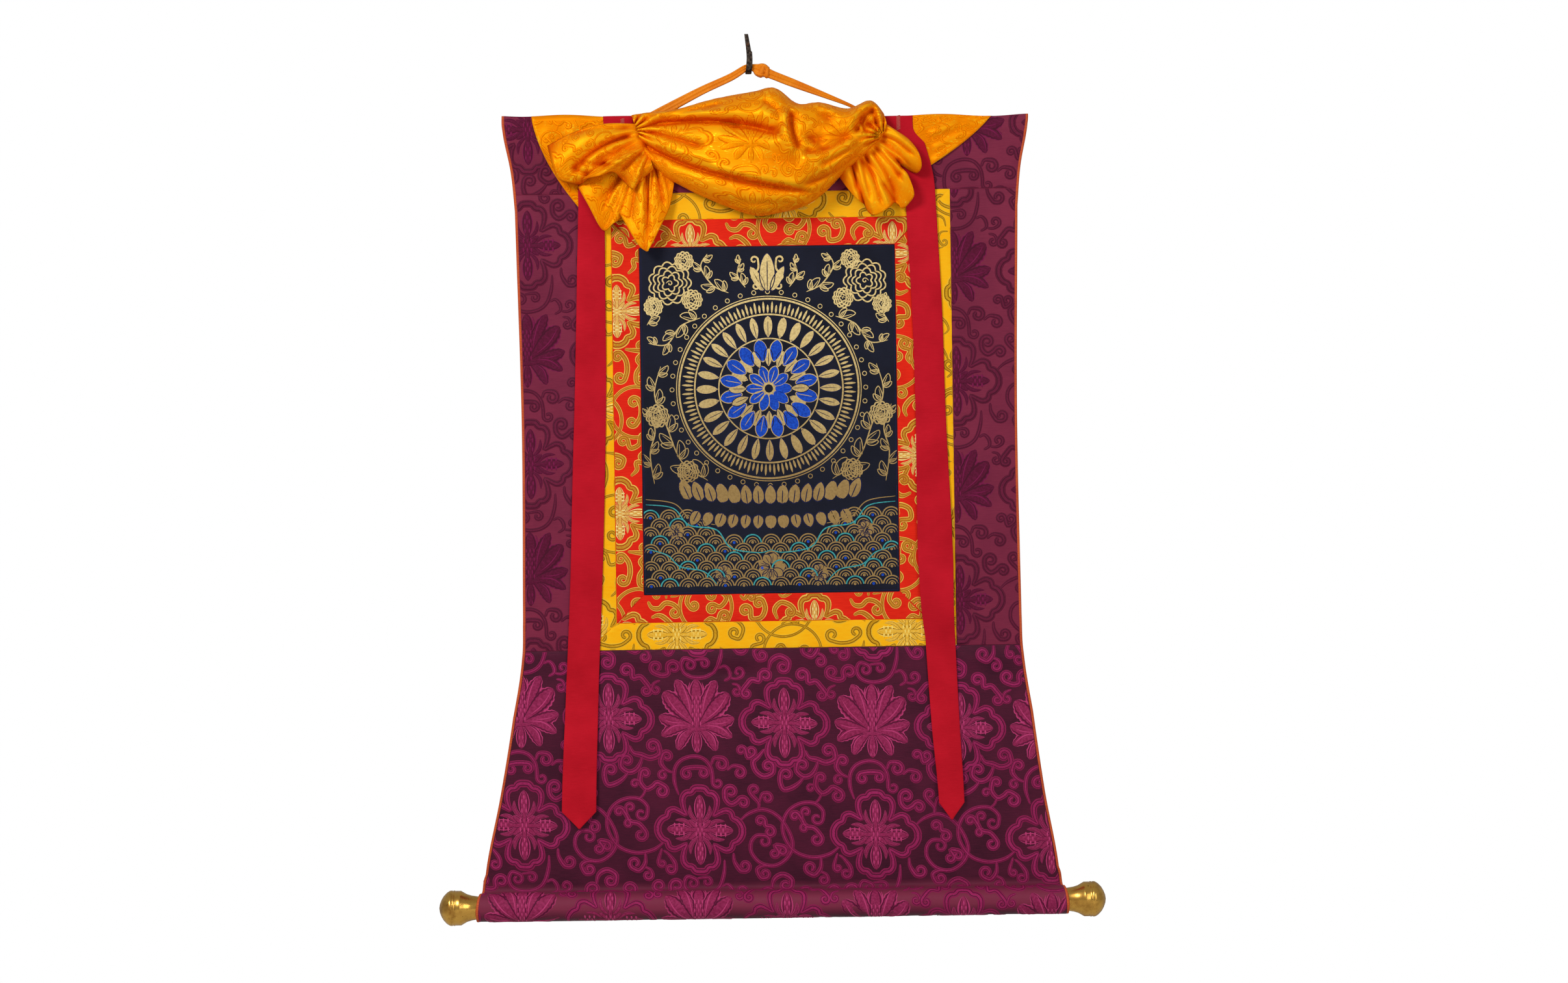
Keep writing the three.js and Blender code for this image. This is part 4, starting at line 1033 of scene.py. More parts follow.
corners = np.array(painting_corners) * (1 - line_in / painting_half_x, 1 - line_in / painting_half_z)
for start, end in zip(corners, np.roll(corners, -1, axis=0)):
    lines.append((between(start, end, np.linspace(0, 1, 60)[:, None]), np.full(60, 0.6), INK))

add = new_material("gold_and_colours")
paint_mark = mark_on(add, "paint")
place = place_on(add, "Object")
worn = noise(add, place, 300, 3)
pooled = noise(add, place, 40, 2)
height_up = times(add, pooled, 0.1, add("SeparateXYZ", {0: place}).outputs["Z"])
gold_paint = mixed(add, spread(add, height_up, -0.64, -0.36), dye(158, 128, 78), dye(232, 206, 140))
gold_paint = mixed(add, spread(add, worn, 0.4, 0.75, 0.0, 0.5), gold_paint, dye(120, 94, 54))
blue_paint = faded(add, worn, 0.3, 0.7, dye(14, 52, 150), dye(26, 84, 208))
teal_paint = faded(add, worn, 0.3, 0.7, dye(40, 130, 136), dye(76, 176, 176))
paint_colour = faded(add, paint_mark, 0.4, 0.6, gold_paint, blue_paint)
paint_colour = faded(add, paint_mark, 1.4, 1.6, paint_colour, teal_paint)
paint_colour = faded(add, paint_mark, 2.4, 2.6, paint_colour, dye(24, 26, 60))
paint_rough = spread(add, worn, 0.3, 0.7, 0.5, 0.38)
paint_finish = finish_material("gold_and_colours", paint_colour, paint_rough, worn, 0.15)
paint_limit = np.array([painting_half_x, painting_half_z]) - 1.5
for coat, strokes, rise in (("painted_touches", touches, 0.1), ("painted_lines", lines, 0.3)):
    plan, height, flat, kind, faces = raised_strips(strokes, rise, np.array([-1, 1]), np.array([1, 1]))
    x, z = np.clip(plan, -paint_limit, paint_limit).T
    painted = make_piece(coat, on_hung(x, z, height), faces, flat, paint_finish, paint=kind)

# Damask mount. Maroon silk damask makes the heading with its deep hem, the two side panels and the long
# bottom panel, which turns over the rod in a sewn pocket. It is one cloth with two sets of colours: a dark
# ground and a light figure on the bottom panel, and a lighter ground and a darker figure on the others. The
# difference between the two sets is painted sheen.
header_seam_z = painting_half_z + red_tall + yellow_tall + seam / 2
bottom_seam_z = -header_seam_z
top_edge_z = 468
rod_shift = -6
hem_thick, hem_tall = 5, 28
# Columns: height, and half the mount's width there.
mount_outline = (
    (-762, 450), (-720, 443), (-694, 437.5), (-574, 415), (-454, 396.5), (-364, 382.5), (-305, 380),
    (0, 377.5), (325, 383), (385, 388.5), (450, 400), (480, 400.7),
)


def at_value(rows, value):
    """The other columns of a table at a value of its first one, which rises, along a smooth curve through
    its rows."""
    rows = np.asarray(rows, float)
    key = rows[:, 0]
    i = np.clip(np.searchsorted(key, value) - 1, 0, len(rows) - 2)
    return along_rows(rows[:, 1:], i + np.clip((value - key[i]) / (key[i + 1] - key[i]), 0, 1))


def edge_x(z, side):
    """The mount's cut edge at a height: half the outline's width, leaning to the rod's own middle low
    down."""
    lean = rod_shift * ease((bottom_seam_z - z) / (bottom_seam_z - rod_z))
    return side * at_value(mount_outline, np.asarray(z, float))[..., 0] + lean


def top_edge(x):
    """The height of the mount's top edge, sloping a little and softly waved."""
    return top_edge_z - 0.0125 * x + 1.6 * np.cos(x / 23 + 0.8)


def damask(name, dark, light, band, band_light, line, bloom, bloom_light):
    """A damask's two finishes: its glossy satin ground and its duller raised figure."""
    # The pale pink given for the rod's turn is a painted highlight on the top of the pocket.
    ground = cloth_material(
        name + "_ground", dark, light, (2600, 1500), 0.43, 0.3, 0.15, cloudy=0.6, rod_highlight_colour=dye(138, 50, 76),
        Specular_Tint=dye(255, 220, 235),
    )
    figure = figure_material(
        name + "_figure", band, band_light, band, line, bloom, bloom_light, 560, 0.55, 0.5,
        Specular_Tint=dye(255, 210, 225),
    )
    return ground, figure


bottom_finish = damask(
    "bottom_damask", dye(52, 14, 32), dye(88, 24, 50), dye(136, 28, 76), dye(164, 40, 98), dye(84, 16, 48),
    dye(132, 30, 72), dye(188, 62, 116),
)
# Painted sheen: the same damask as the bottom panel, with a lighter ground and a darker figure.
side_finish = damask(
    "side_damask", dye(106, 30, 56), dye(132, 42, 68), dye(92, 22, 48), dye(110, 30, 60), dye(70, 16, 38),
    dye(84, 16, 44), dye(120, 26, 72),
)

damask_rise = 0.42
strips = raised_strips(brocade_repeat(), damask_rise)
mount_half, heading_tall, no_edge = 400, 115, 1e3
heading_low = header_seam_z + seam / 2
u, v = np.meshgrid(stops(2 * mount_half, 7), stops(top_edge_z - header_seam_z, 5))
across_top = between(edge_x(top_edge_z, -1), edge_x(top_edge_z, 1), u)
row_z = between(top_edge_z, heading_low, v)
heading_x = between(edge_x(row_z, -1), edge_x(row_z, 1), u)
heading_z = between(top_edge(across_top), heading_low, v)
hem_stitches = 0.5 * bell(v * heading_tall - hem_tall, 2)
heading_dip = turned_edge(no_edge, (1 - v) * heading_tall, heading_x) + hem_stitches
hem_deep = between(hem_thick, cloth_thick, ease((v * (top_edge_z - heading_low) - hem_tall) / 8))
behind = 1 - cloth_thick / 2 / hem_deep
middle = in_frame(heading_x, hung(heading_x, heading_z) + heading_dip, heading_z)
heading = make_sheet("heading_cloth", middle, middle[..., ::2], hem_deep / 1000, side_finish[0], behind)


def heading_cut(x, z):
    """Draws points back within the heading."""
    z = np.clip(z, heading_low + 0.8, top_edge(x) - 1)
    return np.clip(x, edge_x(z, -1) + 1, edge_x(z, 1) - 1), z


heading_box = (-mount_half, heading_low, mount_half, top_edge_z + 4)
heading_figure = figure_piece(
    "heading_figure", strips, on_hung, side_finish[1], heading_box, heading_cut, shift=(310, 456)
)
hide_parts("heading")

side_inner_x = red_outer_x + yellow_wide + seam
side_wide = 100
for side, side_name, shift in ((-1, "left", (-371, 110)), (1, "right", (286, 228))):
    u, v = np.meshgrid(stops(side_wide, 5), stops(2 * header_seam_z, 7))
    panel_z = between(header_seam_z - seam / 2, bottom_seam_z + seam / 2, v)
    ends = (edge_x(panel_z, -1), -side_inner_x) if side < 0 else (side_inner_x, edge_x(panel_z, 1))
    panel_x = between(ends[0], ends[1], u)
    from_seam = (1 - u if side < 0 else u) * side_wide
    panel_dip = turned_edge(from_seam, np.minimum(v, 1 - v) * 2 * header_seam_z, panel_z)
    middle = in_frame(panel_x, hung(panel_x, panel_z) + panel_dip, panel_z)
    panel = make_sheet(
        f"side_cloth_{side_name}", middle, middle[..., ::2], cloth_thick / 1000, side_finish[0]
    )

    def side_cut(x, z, side=side):
        """Draws points back within the side panel."""
        z = np.clip(z, bottom_seam_z + 1, header_seam_z - 1)
        inner, outer = side * (side_inner_x + 0.8), edge_x(z, side) - side
        return (np.clip(x, outer, inner) if side < 0 else np.clip(x, inner, outer)), z

    low_x, high_x = sorted((side * side_inner_x, side * mount_half))
    side_box = (low_x, bottom_seam_z, high_x, header_seam_z)
    side_figure = figure_piece(
        f"side_figure_{side_name}", strips, on_hung, side_finish[1], side_box, side_cut, shift=shift
    )
    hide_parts(f"side_panel_{side_name}")

# The bottom panel's path: down the front, a soft turn forward over the rod, round it and up behind to its
# own seam.
rod_radius, pocket_ease, crease_radius = 19, 0.8, 8
knob_radius, knob_from_wall = 27.1, 0.6
pocket_radius = rod_radius + pocket_ease + cloth_thick / 2
rod_y = -(knob_radius + knob_from_wall)
crease_y = hang_y - crease_radius
crease_rise = math.sqrt((pocket_radius + crease_radius) ** 2 - (crease_y - rod_y) ** 2)
crease_z = rod_z + crease_rise
top_lean = math.atan2(crease_y - rod_y, crease_rise)
flap_y = hang_y + cloth_thick + seam
flap_angle = math.acos((flap_y - rod_y) / pocket_radius)
flap_top_z = crease_z + 12
drop_long = bottom_seam_z - seam / 2 - crease_z
crease_long = crease_radius * (math.pi / 2 + top_lean)
round_long = pocket_radius * (1.5 * math.pi + top_lean + flap_angle)
flap_long = flap_top_z - (rod_z + pocket_radius * math.sin(flap_angle))
path_long = drop_long + crease_long + round_long + flap_long


def on_path(x, s, height=0.0):
    """A point at x on the bottom panel, a length s down its path: straight down, an arc of the crease, an
    arc round the rod and straight up behind. height stands out from the cloth's middle, square to it."""
    crease_turn = (s - drop_long) / crease_radius
    round_turn = math.pi / 2 - top_lean + (s - drop_long - crease_long) / pocket_radius
    down_z = bottom_seam_z - seam / 2 - s
    stretch = [s < drop_long, s < drop_long + crease_long, s < drop_long + crease_long + round_long]
    in_crease, in_round = crease_radius - height, pocket_radius + height
    crease_at = crease_y + in_crease * np.cos(crease_turn), crease_z - in_crease * np.sin(crease_turn)
    round_at = rod_y + in_round * np.cos(round_turn), rod_z + in_round * np.sin(round_turn)
    flap_z = rod_z + pocket_radius * math.sin(flap_angle) + s - drop_long - crease_long - round_long
    y = np.select(stretch, [hung(x, down_z) - height, crease_at[0], round_at[0]], flap_y + height)
    z = np.select(stretch, [down_z, crease_at[1], round_at[1]], flap_z)
    return in_frame(x, y, z)


def width_at(s, side):
    """The panel's cut edge at a length down its path. Round the rod it widens a little, and behind it
    narrows again, so that the turned-up end stays hidden."""
    widening_long, narrower, narrowing_long, before_flap = 60, 9, 30, 34
    pocket_z = between(crease_z, mount_outline[0][0], np.clip((s - drop_long) / widening_long, 0, 1))
    hidden = narrower * ease((s - (path_long - flap_long - before_flap)) / narrowing_long)
    return edge_x(np.where(s < drop_long, bottom_seam_z - s, pocket_z), side) - side * hidden


path_stops = np.concatenate([
    stops(drop_long, 7)[:-3] * drop_long,
    np.linspace(drop_long - 3, drop_long + crease_long, 7)[:-1],
    np.linspace(drop_long + crease_long, drop_long + crease_long + round_long, 46)[:-1],
    np.linspace(path_long - flap_long, path_long, 4),
])
bottom_mean_wide, bottom_box_half = 850, 460
u, s = np.meshgrid(stops(bottom_mean_wide, 8), path_stops)
bottom_x = between(width_at(s, -1), width_at(s, 1), u)
sag = 0.9 * np.sin(bottom_x / 37 + 1.3 * np.sin(bottom_x / 90))
sag = sag * ease((s - drop_long - 40) / 40) * ease((path_long - s) / 30)
middle = on_path(bottom_x, s, -(turned_edge(no_edge, s, bottom_x) + sag * 0.5))
bottom_panel = make_sheet(
    "bottom_cloth", middle, paired(bottom_x, -s) / 1000, cloth_thick / 1000, bottom_finish[0]
)


def bottom_cut(x, z):
    """Draws points back within the bottom panel; z falls with the length down its path."""
    s = np.clip(bottom_seam_z - z, 1.0, path_long - 1)
    return np.clip(x, width_at(s, -1) + 1, width_at(s, 1) - 1), bottom_seam_z - s


def on_bottom(x, z, height):
    """A point on the front of the bottom panel at a height above its face."""
    return on_path(x, bottom_seam_z - z, height + cloth_thick / 2)


bottom_box = (-bottom_box_half, bottom_seam_z - path_long, bottom_box_half, bottom_seam_z)
bottom_figure = figure_piece(
    "bottom_figure", strips, on_bottom, bottom_finish[1], bottom_box, bottom_cut,
    shift=(-118.8, -460.5), slope=0.041,
)
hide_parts("bottom_panel")

# Piping. A narrow bias strip of orange cotton bound over both cut edges of the mount, from the top corner
# down and round the end of the rod's pocket. Its section is a flattened round, carried along the edge.
piping_half_wide, piping_half_deep, piping_deep_at_rod, piping_over = 2.2, 1.6, 1.2, 0.7


def make_loft(name, rings, flat, finish, **marks):
    """A closed body through rings of points: quads join each ring to the next, and the two end rings are
    filled."""
    rows, around = rings.shape[:2]
    number = np.arange(rows * around).reshape(rows, around)
    after = np.roll(number, -1, axis=1)
    quads = np.stack([number[:-1], after[:-1], after[1:], number[1:]], axis=-1).reshape(-1, 4)
    ends = [tuple(number[0, ::-1].tolist()), tuple(number[-1].tolist())]
    middle = rings.mean(axis=1)
    edge = rings[:, :1] - middle[:, None], np.roll(rings, -1, axis=1)[:, :1] - middle[:, None]
    run = np.gradient(middle, axis=0)[:, None]
    if np.sum(np.cross(edge[0], edge[1]) * run) < 0:
        quads, ends = quads[:, ::-1], [end[::-1] for end in ends]
    return make_piece(name, rings.reshape(-1, 3), quads.tolist() + ends, flat.reshape(-1, 2), finish, **marks)


piping_finish = cloth_material(
    "orange_piping", dye(168, 58, 34), dye(222, 104, 52), (1400, 500), 0.6, 0.6, 0.1, cloudy=0.4
)
around = angles_round(12)
out_share, deep_share = np.cos(around), np.sin(around)
for side, side_name in ((-1, "left"), (1, "right")):
    edge_z = np.linspace(float(top_edge(edge_x(top_edge_z, side))), bottom_seam_z, 220)[:-1, None]
    deep = piping_half_deep * deep_share
    out = side * (piping_half_wide * (1 + out_share) - piping_over)
    upper_x = edge_x(edge_z, side)
    upper = in_frame(upper_x + out, hung(upper_x, edge_z) - deep, edge_z + 0 * out)
    near_crease = drop_long - 4
    edge_s = np.concatenate([np.linspace(0, near_crease, 120)[:-1], np.linspace(near_crease, path_long, 90)])
    edge_s = edge_s[:, None]
    lower_deep = deep_share * between(piping_half_deep, piping_deep_at_rod, ease((edge_s - 200) / 120))
    lower = on_path(width_at(edge_s, side) + out, edge_s, lower_deep)
    rings = np.concatenate([upper, lower])
    length = lengths(rings.mean(axis=1))
    flat = paired(around * piping_half_deep / 1000, length[:, None])
    piping = make_loft(f"piping_cord_{side_name}", rings, flat, piping_finish)
    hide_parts(f"piping_{side_name}")

# Rod and knobs. A plain wooden rod runs in the pocket, with a hollow turned brass knob on each end: a short
# stem, a flare, a broad band with two beads, and a low domed end. The knobs are spun, so fine lines run
# round them.
stem_out = 432 + seam
# Columns: distance out from the rod's shoulder, and radius.
knob_profile = (
    (0, 17), (10, 17.1), (19, 17.5), (29, 19), (36, 21.1), (41, 23.9), (44.4, 25.9), (45.6, 26.5),
    (46.6, 26.4), (53.2, 26.5), (53.8, 26.0), (54.5, 26.9), (55.6, 27.1), (56.6, 26.8), (57.2, 26.2),
    (58.2, 26.9), (60.4, 27.0), (62, 26.8), (62.8, 26.3), (63.6, 26.0), (67, 23.8), (72, 18.6),
    (75.5, 12.6), (77.8, 6.5), (78.8, 0.6),
)
add = new_material("spun_brass")
place = place_on(add, "Object")
rings_place = stretched(add, place, (2600, 30, 30))
turning = noise(add, rings_place, 1, 3)
tarnish = noise(add, place, 45, 5, Roughness=0.6)
specks = noise(add, place, 320, 2)
dull = spread(add, tarnish, 0.46, 0.7)
brass_colour = mixed(add, dull, dye(226, 176, 84), dye(166, 116, 50))
brass_colour = faded(add, specks, 0.66, 0.74, brass_colour, dye(110, 74, 34))
brass_rough = times(add, dull, 0.18, times(add, turning, 0.12, 0.16))
brass_height = times(add, specks, 0.25, turning)
brass = finish_material("spun_brass", brass_colour, brass_rough, brass_height, 0.04, Metallic=1.0)
knob_around = angles_round(96)
profile = np.array(knob_profile)
for side, side_name in ((-1, "left"), (1, "right")):
    reach = rod_shift + side * (stem_out + profile[:, :1])
    rings = in_frame(
        reach + 0 * knob_around,
        rod_y + profile[:, 1:] * np.cos(knob_around),
        rod_z + profile[:, 1:] * np.sin(knob_around),
    )
    flat = paired(knob_around * 0.027, profile[:, :1] / 1000)
    knob = make_loft(f"turned_knob_{side_name}", rings, flat, brass)
    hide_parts(f"knob_{side_name}")

add = new_material("rod_wood")
place = place_on(add, "Object")
grain_place = stretched(add, place, (6, 240, 240))
grain = noise(add, grain_place, 1, 5)
wood_colour = faded(add, grain, 0.3, 0.7, dye(104, 66, 38), dye(164, 112, 68))
rod_wood = finish_material("rod_wood", wood_colour, spread(add, grain, 0.2, 0.8, 0.75, 0.6), grain, 0.3)
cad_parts["rod"].data.materials.clear()
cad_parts["rod"].data.materials.append(rod_wood)

# Wall hook. A flat iron bar, flattened and narrow at the top, that runs down the wall, turns forward under
# the tie and ends in front of it. It is forged, so its corners are soft and its scaled surface is dark and
# rough.
hook_thick, hook_bend_radius = 3, 7.5
hook_bend_z, hook_tip_z = 541, 566
hook_wide, hook_tip_wide = 9.4, 4.4
hook_veer, tip_lean, tip_forward = 1.5, 2.6, 0.8
# Columns: x, z and width down the wall.
hook_bar = ((-27, 595, 6), (-25.6, 585, 6.6), (-24, 573, 7.4), (-22.6, 560, 8.4), (-23, 548, 9))
bar_rows, bend_rows, tip_rows = 24, 28, 16
bar = along_rows(hook_bar, np.linspace(0, 3.92, bar_rows))
bend_t = np.linspace(0, 1, bend_rows + 1)[1:]
tip_t = np.linspace(0, 1, tip_rows + 1)[1:]
start_x, start_z = bar[-1, :2]
bend_z = between(start_z, hook_bend_z, np.minimum(1, bend_t * 4))
bend_z = bend_z - hook_bend_radius * np.sin(math.pi * bend_t)
bend_out = hook_bend_radius * (1 - np.cos(math.pi * bend_t))
tip_out = 2 * hook_bend_radius + tip_forward * tip_t
hook_line = np.stack([
    np.concatenate([bar[:, 0], start_x - hook_veer * np.sin(math.pi * bend_t), start_x + tip_lean * tip_t]),
    -hook_thick / 2 - np.concatenate([0 * bar[:, 0], bend_out, tip_out]),
    np.concatenate([bar[:, 1], bend_z, between(hook_bend_z, hook_tip_z, tip_t)]),
], axis=1)
tip_width = between(hook_wide, hook_tip_wide, tip_t**2)
hook_width = np.concatenate([bar[:, 2], np.full(bend_rows, hook_wide), tip_width])
sideways = np.array([1.0, 0.0, 0.0])
through = unit(np.cross(unit(np.gradient(hook_line, axis=0)), sideways))
corner = angles_round(20)
boxy = np.maximum(np.abs(np.cos(corner)), np.abs(np.sin(corner))) ** 0.8
section_wide, section_deep = np.cos(corner) / boxy, np.sin(corner) / boxy
rings = (
    hook_line[:, None]
    + sideways * (hook_width[:, None] / 2 * section_wide)[..., None]
    + through[:, None] * (hook_thick / 2 * section_deep)[:, None]
)
rings = in_frame(rings[..., 0], np.minimum(rings[..., 1], -0.01), rings[..., 2])
add = new_material("forged_iron")
place = place_on(add, "Object")
scale_marks = noise(add, place, 260, 5)
rust = noise(add, place, 90, 3)
iron_colour = faded(add, scale_marks, 0.35, 0.65, dye(34, 28, 26), dye(86, 74, 64))
iron_colour = faded(add, rust, 0.58, 0.72, iron_colour, dye(104, 66, 42))
iron_rough = spread(add, scale_marks, 0.3, 0.7, 0.7, 0.45)
forged_iron = finish_material("forged_iron", iron_colour, iron_rough, scale_marks, 0.5, Metallic=0.7)
flat = paired(corner * 0.002, np.arange(len(rings))[:, None] * 0.001)
hook = make_loft("iron_hook", rings, flat, forged_iron)
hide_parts("wall_hook")

# Ribbons. Two long strips of doubled red cotton, sewn under the top edge and hanging free down the front,
# cut to a point at the end. Each is tacked to the mount with a pink thread near the top.
ribbon_thick, ribbon_point_tall = 1.6, 26
straight_rows, point_rows = 230, 14
least_gap, most_bow = 0.35, 1.2
# Columns: height, left edge, right edge, and distance in front of the mount.
ribbon_edges = {
    "left": (
        (-598, -327.6, -274.6, 6), (-400, -318, -268, 3), (-250, -310, -260.5, 1.8),
        (-100, -304.5, -254.5, 2), (60, -298, -250, 1.6), (250, -292, -249, 2.4), (326, -289, -247.6, 3.2),
        (380, -285, -240, 3), (440, -252, -206, 2.8), (470, -248.6, -203, 2.7),
    ),
    "right": (
        (-592, 252, 291, 6), (-480, 243, 286, 3.2), (-340, 235, 281, 2.4), (-290, 229, 279.4, 5),
        (-200, 225, 279, 3.4), (0, 225, 271.6, 2), (160, 222, 268.4, 1.8), (310, 215.6, 262, 2.6),
        (370, 212, 258, 3.2), (422, 190, 245, 3.4), (440, 181, 229, 2.9), (464, 180.5, 227, 2.7),
    ),
}
ribbon_finish = cloth_material(
    "red_cotton", dye(172, 10, 28), dye(202, 20, 40), (1500, 1500), 0.66, 0.3, 0.2, cloudy=0.7,
    Specular_Tint=dye(255, 190, 195),
)
tack_finish = cloth_material(
    "tacking_thread", dye(176, 66, 62), dye(204, 102, 90), (3000, 900), 0.7, 0.5, 0.05
)
# Columns: side, x, top and foot of the tacking, and how many stitches it has.
tacks = {"left": (-219, 466, 444, 10), "right": (205, 464.5, 442.5, 10)}
stitch_slant, stitch_half = np.array([[-3.1, -0.9], [0, 0], [3.1, 0.9]]), np.array([0.7, 1.25, 0.7])
for side_name, edges in ribbon_edges.items():
    low_z, top_z = edges[0][0], edges[-1][0]
    straight = np.linspace(0, 1, straight_rows)
    z_rows = np.concatenate([between(top_z, low_z, straight), np.full(point_rows, low_z)])
    tip_share = np.concatenate([0 * straight, np.linspace(0, 1, point_rows + 1)[1:]])
    left, right, off = np.moveaxis(at_value(edges, z_rows), -1, 0)
    u = np.concatenate([[0, 0.02], np.linspace(0.06, 0.94, 13), [0.98, 1]])
    width = ((right - left) * between(1, 0.03, tip_share))[:, None]
    x = ((left + right) / 2)[:, None] + (u - 0.5) * width
    z = (z_rows - ribbon_point_tall * tip_share)[:, None] + 0 * x
    bowed = most_bow * np.sin(math.pi * u)
    waves = 0.7 * np.sin(z / 41 + x / 30) * np.sin(z / 97 + 1)
    waves = waves + 0.25 * np.sin(z / 11 + x / 14) * bell(u - 0.5, 0.6)
    front = hung(x, z) - cloth_thick / 2
    y = front - off[:, None] - ribbon_thick / 2 + 0.4 - bowed - waves * ease((off[:, None] - 1) / 2)
    middle = in_frame(x, np.minimum(y, front - ribbon_thick / 2 - least_gap), z)
    rim = 1 - 0.6 * (bell(u, 0.02) + bell(u - 1, 0.02))
    ribbon = make_sheet(
        f"ribbon_cloth_{side_name}", middle, paired(x, z) / 1000, ribbon_thick / 1000 * rim, ribbon_finish
    )
    tack_x, tack_top, tack_low, count = tacks[side_name]
    stitches = [
        (stitch_slant + (tack_x, between(tack_top, tack_low, (k + 0.5) / count)), stitch_half, VINE)
        for k in range(count)
    ]
    plan, height, flat, kind, faces = raised_strips(stitches, 0.7)
    ribbon_front = np.interp(plan[:, 1], z[::-1, 0], y[::-1, 8]) - ribbon_thick / 2
    points = in_frame(plan[:, 0], ribbon_front - height, plan[:, 1])
    tack = make_piece(f"tacking_{side_name}", points, faces, flat, tack_finish)
    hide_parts(f"ribbon_{side_name}")

# Tie. A strip of the veil's orange silk, folded lengthwise into a flat cord. It goes up from behind the
# heading to the hook, is knotted beside it, and comes down behind the heading again.
silk_finish = cloth_material(
    "orange_silk", dye(216, 100, 4), dye(252, 160, 22), (1600, 3000), 0.36, 0.3, 0.3, cloudy=0.5
)
# Columns: x, y, z, width and thickness.
tie_rows = (
    (-212, -4.2, 450, 15, 3.6), (-182, -4.2, 465, 15, 3.6), (-150, -4.6, 481, 15, 4.4),
    (-96, -6.4, 508.5, 13.4, 5.4), (-52, -8.4, 528, 11.6, 6.4), (-28, -9, 541.4, 10.4, 7),
    (-17, -9.2, 541.8, 12, 9), (-9, -9.4, 539, 20, 13), (-1, -9.2, 536.4, 21, 13),
    (8, -8.8, 532.4, 14.6, 7.4), (40, -7.4, 519.6, 13, 5.6), (92, -5.4, 498.6, 8.6, 5),
    (134, -4.4, 481, 5.6, 4.4), (152, -4.2, 468, 8, 4), (164, -4.2, 448, 12, 4),
)
# Columns: share up and share to the front of the folded strip's section.
tie_section = (
    (1, 0), (0.8, 0.85), (0.36, 0.62), (0.1, 1), (-0.3, 0.66), (-0.78, 0.9), (-1, 0), (-0.72, -0.92),
    (0, -0.7), (0.72, -0.92),
)
section = even_line(tie_section, 0.13, closed=True)[:-1]
tie_count = 260
line = along_rows(tie_rows, np.linspace(0, len(tie_rows) - 1, tie_count))
centre = line[:, :3]
out = np.array([0.0, -1.0, 0.0])
up = unit(np.cross(out, unit(np.gradient(centre, axis=0))))
up *= np.where(up[:, 2:] < 0, -1, 1)
wander = 0.05 * np.sin(np.arange(tie_count)[:, None] / 9 + section[:, 0] * 4)
rings = (
    centre[:, None]
    + up[:, None] * (line[:, 3:4] / 2 * (section[:, 0] + wander))[..., None]
    + out * (line[:, 4:5] / 2 * (section[:, 1] + wander))[..., None]
)
flat = paired(section[:, 0] * 0.008, lengths(centre)[:, None] / 1000)
tie = make_loft("tie_strip", in_frame(*np.moveaxis(rings, -1, 0)), flat, silk_finish)

# Two turns of the strip wrap the knot. Columns: x, z of the middle, lean, and size of each turn.
wrap_half_tall, wrap_half_deep, wrap_half_wide = 9.6, 5.6, 3.3
knot_y, least_y = -9.4, -0.6
wraps = []
for wrap_x, wrap_z, lean, size in ((-3.2, 537.2, -0.32, 1.0), (4.4, 534.6, -0.1, 0.84)):
    turn, tube = angles_round(48)[:, None], angles_round(14)
    wide = (wrap_half_wide + 0.5 * np.cos(turn * 2 + 1)) * size
    ridge = 1 + 0.12 * np.cos(tube * 3)
    up = (wrap_half_tall * size + 0.45 * wide * np.cos(tube) * ridge) * np.cos(turn)
    forward = (wrap_half_deep * size + 0.45 * wide * np.cos(tube) * ridge) * np.sin(turn)
    aside = wide * np.sin(tube) * ridge
    x = wrap_x + aside * math.cos(lean) - up * math.sin(lean)
    z = wrap_z + up * math.cos(lean) + aside * math.sin(lean)
    points = in_frame(x, np.minimum(knot_y - forward, least_y), z)
    number = np.arange(turn.size * tube.size).reshape(turn.size, tube.size)
    below, beside = np.roll(number, -1, axis=0), np.roll(number, -1, axis=1)
    faces = np.stack([number, beside, np.roll(below, -1, axis=1), below], axis=-1).reshape(-1, 4)
    flat = paired(tube * 0.003, turn * 0.008).reshape(-1, 2)
    wrap = make_piece(f"tie_wrap_{len(wraps) + 1}", points.reshape(-1, 3), faces, flat, silk_finish)
    wraps.append(wrap)
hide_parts("tie")

# Veil. One orange silk damask cloth, sewn along the top edge. It hangs flat at both corners, is bunched
# into a puffed swag between two gathers, and spreads from them in a lobe and two tails at the left and in a
# fan of rolled pleats at the right. The inner layers that the bunch hides aren't made.
silk_thick, flat_silk_thick, flat_silk_gap = 1.2, 0.9, 0.9


def bow(start, via, end, t):
    """Points at shares t of a quadratic curve that leaves its start and reaches its end aimed at `via`."""
    t = np.asarray(t)[..., None]
    return (1 - t) ** 2 * np.array(start) + 2 * t * (1 - t) * np.array(via) + t * t * np.array(end)


